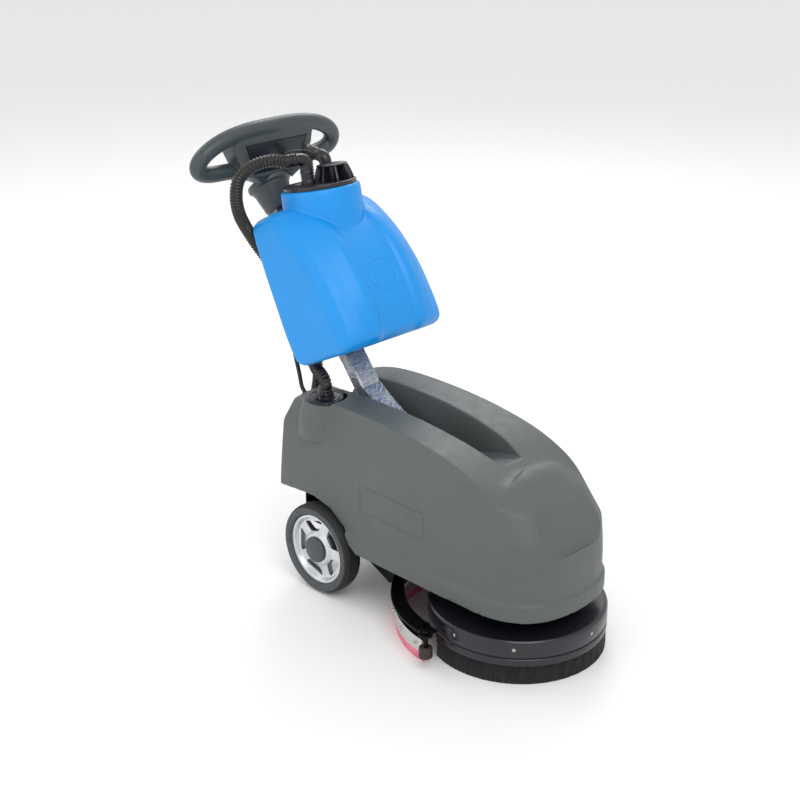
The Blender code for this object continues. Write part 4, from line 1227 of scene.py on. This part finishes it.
def handle():
    loop = sweep("handle_loop", closed_route(handle_loop_points(), 8), 0.0176, 28, closed=True)
    pod = loft("pod", [
        pod_section(0.826, 0.052, 0.285, 0.345),
        pod_section(0.845, 0.078, 0.280, PANEL_Y),
        pod_section(0.895, 0.104, 0.280, PANEL_Y),
        pod_section(0.932, 0.116, 0.286, PANEL_Y - 0.014),
        pod_section(0.944, 0.112, 0.296, PANEL_Y - 0.030),
    ])
    round_edges(pod, 0.003, 3, 12)
    combine(loop, bake(pod), "UNION")
    recess = []
    for y, grow in ((0.250, 0.010), (0.2815, 0.0), (0.2875, -0.003)):
        recess.append([(-0.066 - grow, y, 0.848 - grow), (0.066 + grow, y, 0.848 - grow),
                       (0.088 + grow, y, 0.915 + grow * 0.5), (-0.088 - grow, y, 0.915 + grow * 0.5)])
    combine(loop, loft("recess", recess))
    clear = [(0, 0.0063), (0.050, 0.0063), (0.050, -0.080), (0, -0.080)]
    combine(loop, lathe("socket_clear", clear, COLUMN_HEAD, column_turn() @ Vector((0, 0, 1)), bevel=0))
    bake(loop)
    soften(loop, 0.0016, 4, 0.6)
    settle(loop, "slate_handle", "column", ["handle_head"], angle=50)
    inlay = loft("recess_panel", [
        [(-0.064, y, 0.850), (0.064, y, 0.850), (0.085, y, 0.9125),
         (-0.085, y, 0.9125)] for y in (0.2855, 0.2878)
    ])
    round_edges(inlay, 0.0009, 3)
    settle(inlay, "navy_panel", "column")
    socket = lathe(
        "column_collar",
        [(0, 0.006), (0.0455, 0.006), (0.0480, 0.0045), (0.0490, 0.0020), (0.0490, -0.0040),
         (0.0478, -0.0062),
         (0.0450, -0.0072), (0.0435, -0.0090), (0.0435, -0.0110), (0.0405, -0.0180), (0.0345, -0.0580),
         (0.0330, -0.0620), (0.0300, -0.0640), (0, -0.0640)],
        COLUMN_HEAD, column_turn() @ Vector((0, 0, 1)), 96, bevel=0,
    )
    hollow = (COLUMN_WIDTH + 2 * GAP, COLUMN_DEPTH + 2 * GAP, 0.0477)
    combine(socket, box("collar_hollow", hollow, column_point(0.4635 - 0.0195), column_turn(), bevel=0.006))
    settle(socket, "slate_handle", "column", ["handle_socket"], angle=30)


# ------------------------------------------------------------------------- lid

FIN_ANGLES = (-75, -30, 15, 60, 105, 150, 195, 240)
GRIP = (0.022, 0.022)


def lid():
    up = neck_axis()
    disc = lathe(
        "lid_disc",
        [(0, 0.0090), (0.0560, 0.0090), (0.0580, 0.0078), (0.0700, 0.0078), (0.0715, 0.0090),
         (0.0760, 0.0090),
         (0.0776, 0.0080), (0.0780, 0.0062), (0.0780, GAP), (0, GAP)],
        NECK, up, 120, bevel=0.0004,
    )
    foot = on_lid(*GRIP, 0)
    parts = [disc]
    parts.append(lathe(
        "grip_core",
        [(0, 0.0438), (0.0290, 0.0438), (0.0322, 0.0428), (0.0330, 0.0410), (0.0318, 0.0392),
         (0.0150, 0.0384),
         (0.0140, 0.0120), (0.0220, 0.0084), (0, 0.0084)],
        foot, up, 72, bevel=0,
    ))
    turn = towards(up)
    for degrees in FIN_ANGLES:
        angle = math.radians(degrees)
        direction = Vector((math.cos(angle), math.sin(angle), 0))
        across = Vector((-direction.y, direction.x, 0))
        line = [(0.011, 0.0070), (0.0435, 0.0070), (0.0415, 0.0170), (0.0360, 0.0330), (0.0325, 0.0405),
                (0.011, 0.0405)]
        rows = [[foot + turn @ (direction * r + across * side + Vector((0, 0, h))) for r, h in line]
                for side in (-0.0022, 0.0022)]
        parts.append(round_edges(loft(f"grip_fin_{degrees}", rows), 0.0007, 2))
    settle(join("lid_with_grip", parts), "black_plastic", "lid", ["tank_lid"], angle=32)
    for name in ELBOWS:
        even, total = even_route(elbow_route(name), 0.0012)

        def profile(gone, total=total):
            base = 0.0125
            if gone < 0.009:
                base = 0.0148 - 0.0010 * (gone > 0.0075)
            elif 0.0245 < gone < 0.0275:
                base = 0.0133
            if gone > total - 0.013:
                base = 0.0142 if (total - gone) % 0.0044 < 0.0030 else 0.0134
            return base + 0.0016 * math.exp(-(((gone - 0.053) / 0.010) ** 2))

        pipe = sweep(f"{name}_pipe", even, profile, sides=32)
        settle(pipe, "black_plastic", "lid", [name], angle=50)
    wire, _ = even_route(
        [(-0.086, 0.158, 0.9215), (-0.070, 0.156, 0.9235), (-0.050, 0.153, 0.9225), (-0.034, 0.149, 0.9195),
         (-0.018, 0.143, 0.9090), (-0.009, 0.137, 0.8930), (-0.006, 0.132, 0.8740),
         (-0.006, 0.130, 0.8560)], 0.003)
    settle(sweep("level_wire", wire, 0.0021, sides=12), "hose", "lid")
    tie = [Vector((-0.066, 0.1590 + 0.0155 * math.cos(a), 0.9075 + 0.0158 * math.sin(a)))
           for a in (2 * math.pi * k / 40 for k in range(40))]
    settle(sweep("wire_tie", tie, 0.0011, sides=10, closed=True), "black_plastic", "lid")


HINGE = Vector((0, -0.060, 0.098))
HINGE_BORE = 0.0043
AXLE_BORE = 0.0083
FOLD_BORE = 0.0068


def bore(name, radius, start, end, at, axis, steps=32):
    """A plain cutter for a pin's hole, from start to end along its axis."""
    return lathe(name, [(0, end), (radius, end), (radius, start), (0, start)], at, axis, steps, bevel=0)


# -------------------------------------------------------------------- squeegee

# Outer face of the rear blade at the floor, from the machine's centre to its left end.
BLADE_LINE = [
    (0.000, -0.150), (0.050, -0.156), (0.100, -0.180), (0.142, -0.217),
    (0.170, -0.253), (0.190, -0.290), (0.202, -0.326), (0.208, -0.362),
]


def blade_path(trim=0.0, spacing=0.008):
    half = smooth_route([(x, y, 0) for x, y in BLADE_LINE], spacing)
    half[-1] = half[-1] + (half[-2] - half[-1]).normalized() * trim
    whole = [Vector((-p.x, p.y, 0)) for p in reversed(half[1:])] + half
    path = []
    for i, point in enumerate(whole):
        along = whole[min(i + 1, len(whole) - 1)] - whole[max(i - 1, 0)]
        path.append((point, Vector((-along.y, along.x, 0)).normalized()))
    return path


def strip(name, outer, inner, bottom, top, flare=0.0, trim=0.0, soft=0.0006, flute=0.0):
    """A wall along the blade's line with eased edges; flute ripples its outer face."""
    sections = []
    for number, (point, normal) in enumerate(blade_path(trim)):
        reach = outer + flare * (abs(point.x) / 0.208) ** 3 - flute * (number % 2)
        a = point + normal * reach
        b = point + normal * inner
        ease_a, ease_b = normal * -soft, normal * soft
        sections.append([
            (*(a + ease_a).xy, bottom), (*(b + ease_b).xy, bottom), (*b.xy, bottom + soft),
            (*b.xy, top - soft),
            (*(b + ease_b).xy, top), (*(a + ease_a).xy, top), (*a.xy, top - soft), (*a.xy, bottom + soft),
        ])
    return loft(name, sections)


def clamp_bolts(name, offset, height):
    """Hexagon heads with washers and short round tips along the clamp strip."""
    path = blade_path()
    parts = []
    for share in (0.035, 0.13, 0.24, 0.37, 0.50, 0.63, 0.76, 0.87, 0.965):
        point, normal = path[round(share * (len(path) - 1))]
        place = point + normal * offset + Vector((0, 0, height))
        parts.append(lathe(f"{name}_washer",
                           [(0, 0.0012), (0.0052, 0.0012), (0.0056, 0.0008), (0.0056, 0), (0, 0)],
                           place, normal, 24, bevel=0))
        parts.append(lathe(f"{name}_head",
                           [(0, 0.0046), (0.0030, 0.0046), (0.0040, 0.0040), (0.0040, 0.0012), (0, 0.0012)],
                           place, normal, 6, bevel=0.0002))
        parts.append(lathe(f"{name}_tip",
                           [(0, 0.0066), (0.0016, 0.0064), (0.0020, 0.0058), (0.0020, 0.0040), (0, 0.0040)],
                           place, normal, 16, bevel=0))
    return join(name, parts)


ROLLER = Vector((0.222, -0.384, 0))


def squeegee():
    settle(strip("rear_blade", 0.0, -0.003, 0.0005, 0.046, flute=0.00012), "pink_blade", "squeegee",
           ["blade_rear"], angle=50)
    settle(strip("front_blade", -0.0086, -0.0116, 0.0005, 0.046), "pink_blade", "squeegee", ["blade_front"],
           angle=50)
    settle(strip("rear_clamp", 0.0022, GAP, 0.020, 0.050, soft=0.0004), "bare_steel", "squeegee",
           ["clamp_strip_rear"])
    settle(strip("front_clamp", -0.0119, -0.0137, 0.020, 0.050, soft=0.0004), "bare_steel", "squeegee",
           ["clamp_strip_front"])
    settle(clamp_bolts("clamp_bolts", 0.0022, 0.036), "bare_steel", "squeegee")
    frame_parts = [
        strip("carrier_wall", -0.0033, -0.0083, 0.012, 0.0755, trim=0.003),
        strip("carrier_plate", 0.006, -0.020, 0.074, 0.080, flare=0.010, soft=0.0015),
    ]
    for side in (-1, 1):
        place = (side * ROLLER.x, ROLLER.y, 0)
        ear = lathe(f"roller_ear_{side + 1}",
                    [(0, 0.0800), (0.0128, 0.0800), (0.0137, 0.0792), (0.0137, 0.0752), (0, 0.0752)],
                    place, steps=48, bevel=0.0003)
        frame_parts.append(ear)
        frame_parts.append(round_edges(box(f"roller_arm_{side + 1}", (0.028, 0.034, 0.0048),
                                           (side * 0.2085, -0.372, 0.0776)), 0.0008))
        frame_parts.append(lathe(f"roller_post_{side + 1}",
                                 [(0, 0.0770), (0.0040, 0.0770), (0.0040, 0.0240), (0, 0.0225)],
                                 place, steps=24, bevel=0))
        frame_parts.append(lathe(f"roller_nut_{side + 1}", [(0, 0.0862), (0.0050, 0.0862), (0.0062, 0.0850),
                                                            (0.0062, 0.0800), (0, 0.0800)],
                                 place, steps=6, bevel=0.0002))
        line = [(-0.190, 0.060), (-0.150, 0.050), (-0.068, 0.088), (-0.052, 0.090), (-0.050, 0.104),
                (-0.066, 0.108),
                (-0.150, 0.0797), (-0.190, 0.0797)]
        arm = loft(f"lift_arm_{side + 1}", [[(side * x, y, z) for y, z in line] for x in (0.0826, 0.0936)])
        hole = bore(f"arm_bore_{side + 1}", HINGE_BORE, 0.0, 0.2, HINGE, (side, 0, 0))
        frame_parts.append(round_edges(bake(combine(arm, hole)), 0.0012, 3))
    settle(join("squeegee_frame", frame_parts), "black_steel", "squeegee", ["squeegee_carrier"])
    for name, side in (("left", 1), ("right", -1)):
        place = (side * ROLLER.x, ROLLER.y, 0)
        roller = lathe(
            f"guard_roller_{name}",
            [(0.0043, 0.0505), (0.0065, 0.0510), (0.0085, 0.0500), (0.0120, 0.0508), (0.0135, 0.0495),
             (0.0140, 0.0470),
             (0.0138, 0.0400), (0.0134, 0.0390), (0.0138, 0.0380), (0.0140, 0.0310), (0.0135, 0.0285),
             (0.0120, 0.0272),
             (0.0085, 0.0280), (0.0065, 0.0270), (0.0043, 0.0275)],
            place, steps=64, ring=True, bevel=0,
        )
        settle(roller, "roller", f"roller_{name}", [f"roller_{name}"])
    nozzle = [
        round_edges(box("nozzle_box", (0.048, 0.020, 0.022), (0, -0.1610, 0.0915)), 0.004, 3),
        lathe("nozzle_barb", [(0, 0.0), (0.0118, 0.0), (0.0125, -0.002), (0.0110, -0.004), (0.0110, -0.006),
                              (0.0150, -0.0065),
                              (0.0150, -0.0095), (0, -0.0095)], (0, -0.1490, 0.0945), (0, 1, 0), 48, bevel=0),
    ]
    settle(join("suction_mouth", nozzle), "black_plastic", "squeegee", ["suction_nozzle"])


# ------------------------------------------------------------ port and fittings


def port():
    disc = lathe(
        "port_cover",
        [(0, 0.0040), (0.0300, 0.0040), (0.0312, 0.0030), (0.0340, 0.0030), (0.0350, 0.0040),
         (0.0372, 0.0040),
         (0.0384, 0.0028), (0.0386, GAP), (0, GAP)], PORT, steps=96, bevel=0.0003,
    )
    clip = round_edges(box("port_clip", (0.0070, 0.0055, 0.0150),
                           PORT + Vector((-0.0245, -0.0120, 0.0105))), 0.0012, 3)
    settle(join("port_cover_with_clip", [disc, clip]), "black_plastic", "chassis", ["vacuum_port"], angle=32)
    nut = [
        lathe("nut_flange",
              [(0, 0.0075), (0.0205, 0.0075), (0.0212, 0.0066), (0.0212, 0.0043), (0, 0.0043)], PORT,
              steps=64, bevel=0.0003),
        lathe("nut_hexagon",
              [(0, 0.0175), (0.0165, 0.0175), (0.0188, 0.0160), (0.0188, 0.0070), (0, 0.0070)], PORT,
              steps=6, bevel=0.0006),
        lathe("nut_neck", [(0, 0.0220), (0.0143, 0.0220), (0.0150, 0.0210), (0.0150, 0.0170), (0, 0.0170)],
              PORT,
              steps=64, bevel=0.0003),
    ]
    settle(join("hose_nut", nut), "black_plastic", "chassis", ["port_nut"], angle=32)
    gland = [
        lathe("gland_hexagon",
              [(0, 0.0170), (0.0092, 0.0170), (0.0100, 0.0160), (0.0100, 0.0103), (0, 0.0103)],
              GLAND_FOOT, GLAND_AXIS, 6, bevel=0.0004),
        lathe("gland_cap", [(0, 0.0225), (0.0060, 0.0225), (0.0078, 0.0212), (0.0084, 0.0165), (0, 0.0165)],
              GLAND_FOOT,
              GLAND_AXIS, 48, bevel=0.0002),
    ]
    settle(join("wire_gland", gland), "black_plastic", "chassis", ["cable_gland"], angle=32)


# ---------------------------------------------------------------------- column


def column():
    turn = column_turn()
    length = (COLUMN_HEAD - COLUMN_FOOT).length - 0.050
    corner, sides, steps = 0.0055, 10, 110
    outline = []
    for number, (cx, cy) in enumerate(((1, 1), (-1, 1), (-1, -1), (1, -1))):
        for k in range(sides):
            angle = math.pi / 2 * (number + k / (sides - 1))
            outline.append(((COLUMN_WIDTH / 2 - corner) * cx + corner * math.cos(angle),
                            (COLUMN_DEPTH / 2 - corner) * cy + corner * math.sin(angle)))
    fine = []
    for number, (x, y) in enumerate(outline):
        nx, ny = outline[(number + 1) % len(outline)]
        fine.append((x, y))
        gap = math.hypot(nx - x, ny - y)
        for k in range(1, max(1, round(gap / 0.004))):
            share = k / round(gap / 0.004)
            fine.append((x + (nx - x) * share, y + (ny - y) * share))
    sections = []
    for step in range(steps + 1):
        height = 0.0022 + length * step / steps
        row = []
        for x, y in fine:
            place = Vector((x, y, height))
            crease = abs(noise.noise(place * 55)) ** 0.6 * 0.0009 + 0.0003 * noise.noise(place * 210)
            row.append(COLUMN_FOOT + turn @ Vector((x * (1 - crease / 0.02), y * (1 - crease / 0.015),
                                                    height)))
        sections.append(row)
    tube = loft("wrapped_column", sections)
    hollow = box("column_hollow", (COLUMN_WIDTH - 0.004, COLUMN_DEPTH - 0.004, length * 1.2),
                 column_point(length / 2), turn)
    combine(tube, round_edges(hollow, 0.003, 3))
    settle(tube, "film", "column", ["column_tube"], angle=60)
    top = column_point(0.0, COLUMN_DEPTH / 2)
    low = column_point(0.0, -COLUMN_DEPTH / 2)
    line = [(top.y, top.z), (low.y, low.z), (-0.040, 0.412), (-0.092, 0.383), (-0.112, 0.370),
            (-0.134, 0.366),
            (-0.141, 0.352), (-0.134, 0.338), (-0.112, 0.334), (-0.070, 0.345), (-0.020, 0.372)]
    link = loft("wrapped_link", [[(x, y, z) for y, z in line] for x in (-0.0255, 0.0255)])
    hole = bore("link_bore", FOLD_BORE, -0.1, 0.1, FOLD, (1, 0, 0), 48)
    combine(link, hole)
    bake(link)
    round_edges(link, 0.003, 3)
    bake(link)
    soften(link, 0.0013, 2, 1)
    bake(link)
    for vertex in link.data.vertices:
        depth = abs(noise.noise(vertex.co * 70)) ** 0.6 * 0.0013
        if (vertex.co - FOLD).yz.length > 0.012:
            vertex.co -= vertex.normal * depth
    spigot = box("link_spigot", (0.0504, 0.0254, 0.090), column_point(0.035), turn, bevel=0.003)
    settle(join("wrapped_link_with_spigot", [link, spigot]), "film", "column", ["column_link"],
           angle=60)
    rivets = []
    for side in (-1, 1):
        place = column_point(0.030) + Vector((side * COLUMN_WIDTH / 2, 0, 0))
        rivets.append(lathe(f"rivet_{side + 1}",
                            [(0, 0.0022), (0.0022, 0.0021), (0.0040, 0.0012), (0.0046, 0.0002),
                                                   (0.0046, -0.0015), (0, -0.0015)], place, (side, 0, 0),
                                                   32, bevel=0))
    settle(join("column_rivets", rivets), "bare_steel", "column")
    clip = [round_edges(box("clip_block", (0.066, 0.030, 0.016), CLIP_CENTRE, turn), 0.0035, 3)]
    for x in (-0.080, -0.048):
        place = Vector((x, CLIP_CENTRE.y, CLIP_CENTRE.z))
        clip.append(lathe(f"clip_ring_{x}",
                          [(0, 0.0088), (0.0152, 0.0088), (0.0160, 0.0070), (0.0160, -0.0070),
                                              (0.0152, -0.0088), (0, -0.0088)], place,
                                              turn @ Vector((0, 0, 1)), 48, bevel=0))
    settle(join("hose_clamp", clip), "black_plastic", "column", ["hose_clip"], angle=32)
    saddle = round_edges(box("saddle_pad", (0.046, 0.0096, 0.050),
                             column_point(0.340, -COLUMN_DEPTH / 2 - GAP - 0.005), turn), 0.002, 3)
    settle(saddle, "black_steel", "column", ["tank_saddle"])


# -------------------------------------------------------------------- controls


def controls():
    front = PANEL_Y + GAP
    face = front + 0.003 + GAP
    plate = round_edges(box("panel_plate", (0.130, 0.003, 0.046), (0, front + 0.0015, 0.872)), 0.0011, 3)
    combine(plate, box("panel_field", (0.120, 0.0020, 0.036), (0, front + 0.0036, 0.872)))
    settle(plate, "navy_panel", "column", ["control_panel"])
    corners = [Vector((x, front + 0.0027, z)) for x in (-0.0565, 0.0565) for z in (0.8575, 0.8865)]
    settle(screw_heads("panel_screws", corners, lambda p: Vector((0, 1, 0)), 0.0024), "bare_steel", "column")
    meter = round_edges(box("meter_body", (0.034, 0.003, 0.016), (-0.042, face + 0.0015, 0.880)), 0.0009, 3)
    for number in range(5):
        combine(meter, box(f"meter_window_{number}", (0.0040, 0.0020, 0.0060),
                           (-0.0546 + 0.0063 * number, face + 0.0030, 0.880)))
    settle(meter, "slate_handle", "column", ["battery_meter"])
    key = [
        lathe("key_ring", [(0, 0.0030), (0.0050, 0.0030), (0.0056, 0.0040), (0.0074, 0.0040),
                           (0.0084, 0.0030), (0.0085, 0.0004),
                           (0, 0.0004)], (0.046, face, 0.874), (0, 1, 0), 48, bevel=0),
        round_edges(box("key_blade", (0.0026, 0.0100, 0.0060), (0.046, face + 0.0075, 0.874)), 0.0005),
        lathe("key_bow", [(0, 0.0013), (0.0062, 0.0013), (0.0068, 0.0008), (0.0068, -0.0008),
                          (0.0062, -0.0013), (0, -0.0013)],
              (0.046, face + 0.0068, 0.874), (1, 0, 0), 40, bevel=0),
    ]
    settle(join("ignition_key", key), "bare_steel", "key", ["key_switch"])
    for node, x, body in (("rocker_brush", -0.006, "brush_rocker"),
                          ("rocker_vacuum", 0.018, "vacuum_rocker")):
        line = [(-0.0098, 0.0016), (-0.0098, 0.0062), (-0.0060, 0.0066), (0.0, 0.0050), (0.0060, 0.0066),
                (0.0098, 0.0062),
                (0.0098, 0.0016)]
        rocker = loft(f"{node}_key", [[(x + side, face + depth, 0.874 + z) for z,
                                       depth in line] for side in (-0.0068, 0.0068)])
        settle(round_edges(rocker, 0.0006, 2), "red_switch", body, [node])


# --------------------------------------------------------------------- chassis


def chassis():
    parts = [round_edges(box("frame_plate", (0.210, 0.590, 0.006), (0, -0.195, 0.121)), 0.0012, 2)]
    for side in (-1, 1):
        cheek = box(f"axle_cheek_{side + 1}", (0.006, 0.060, 0.055), (side * 0.100, 0, 0.0965))
        round_edges(cheek, 0.0012, 2)
        hole = bore(f"cheek_bore_{side + 1}", AXLE_BORE, -0.02, 0.02, (side * 0.100, 0, AXLE_Z), (1, 0, 0))
        parts.append(bake(combine(cheek, hole)))
        lug = box(f"hinge_lug_{side + 1}", (0.005, 0.020, 0.034), (side * 0.0775, -0.060, 0.104))
        round_edges(lug, 0.0010, 2)
        place = HINGE + Vector((side * 0.0775, 0, 0))
        hole = bore(f"lug_bore_{side + 1}", HINGE_BORE, -0.02, 0.02, place, (1, 0, 0), 24)
        parts.append(bake(combine(lug, hole)))
    parts.append(round_edges(box("rear_upstand", (0.210, 0.005, 0.095), (0, 0.0975, 0.165)), 0.0012, 2))
    bolt_line = [(0, 0.0050), (0.0050, 0.0050), (0.0062, 0.0040), (0.0062, 0), (0, 0)]
    for x in (-0.070, 0.070):
        for y in (-0.440, -0.330, -0.220, -0.110, 0.050):
            parts.append(lathe(f"frame_bolt_{x}_{y}", bolt_line, (x, y, 0.1180), (0, 0, -1), 6, bevel=0.0003))
    settle(join("chassis_plate", parts), "black_steel", "chassis", ["chassis_frame"])
    bracket = [round_edges(box("bracket_block", (0.030, 0.020, 0.0475), (-0.046, -0.040, 0.0939)), 0.002, 3)]
    settle(join("hose_stay", bracket), "black_steel", "chassis", ["hose_bracket"])
    ears = [round_edges(box("ear_base", (0.078, 0.060, 0.004), (0, FOLD.y, 0.3205)), 0.001, 2)]
    line = [(-0.148, 0.320), (-0.092, 0.320), (-0.102, 0.358), (-0.112, 0.368), (-0.128, 0.368),
            (-0.138, 0.358)]
    for side in (-1, 1):
        ear = loft(f"fold_ear_{side + 1}", [[(side * x, y, z) for y, z in line] for x in (0.0270, 0.0320)])
        hole = bore(f"ear_bore_{side + 1}", FOLD_BORE, 0.02, 0.04, FOLD, (side, 0, 0))
        ears.append(round_edges(bake(combine(ear, hole)), 0.001, 2))
    settle(join("fold_ears", ears), "black_steel", "chassis", ["fold_bracket"])


# ------------------------------------------------------- pieces kept from the frame

KEPT = {
    "bare_steel": ["wheel_axle", "squeegee_hinge_pin", "fold_pin"],
    "black_steel": ["brush_motor", "gearbox_flange", "brush_hub"],
    "black_plastic": ["vacuum_duct", "vacuum_motor", "battery_left", "battery_right", "float_cage"],
    "hose": ["lid_seal"],
}


def kept_pieces():
    for look, nodes in KEPT.items():
        for node in nodes:
            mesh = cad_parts[node].data
            mesh.materials.clear()
            mesh.materials.append(LOOKS[look])


studio()
kept_pieces()
body_shell()
tank()
handle()
for wheel_name, wheel_side in (("left", 1), ("right", -1)):
    wheel(wheel_name, wheel_side)
brush_deck()
brush()
hoses()
lid()
squeegee()
port()
column()
controls()
chassis()
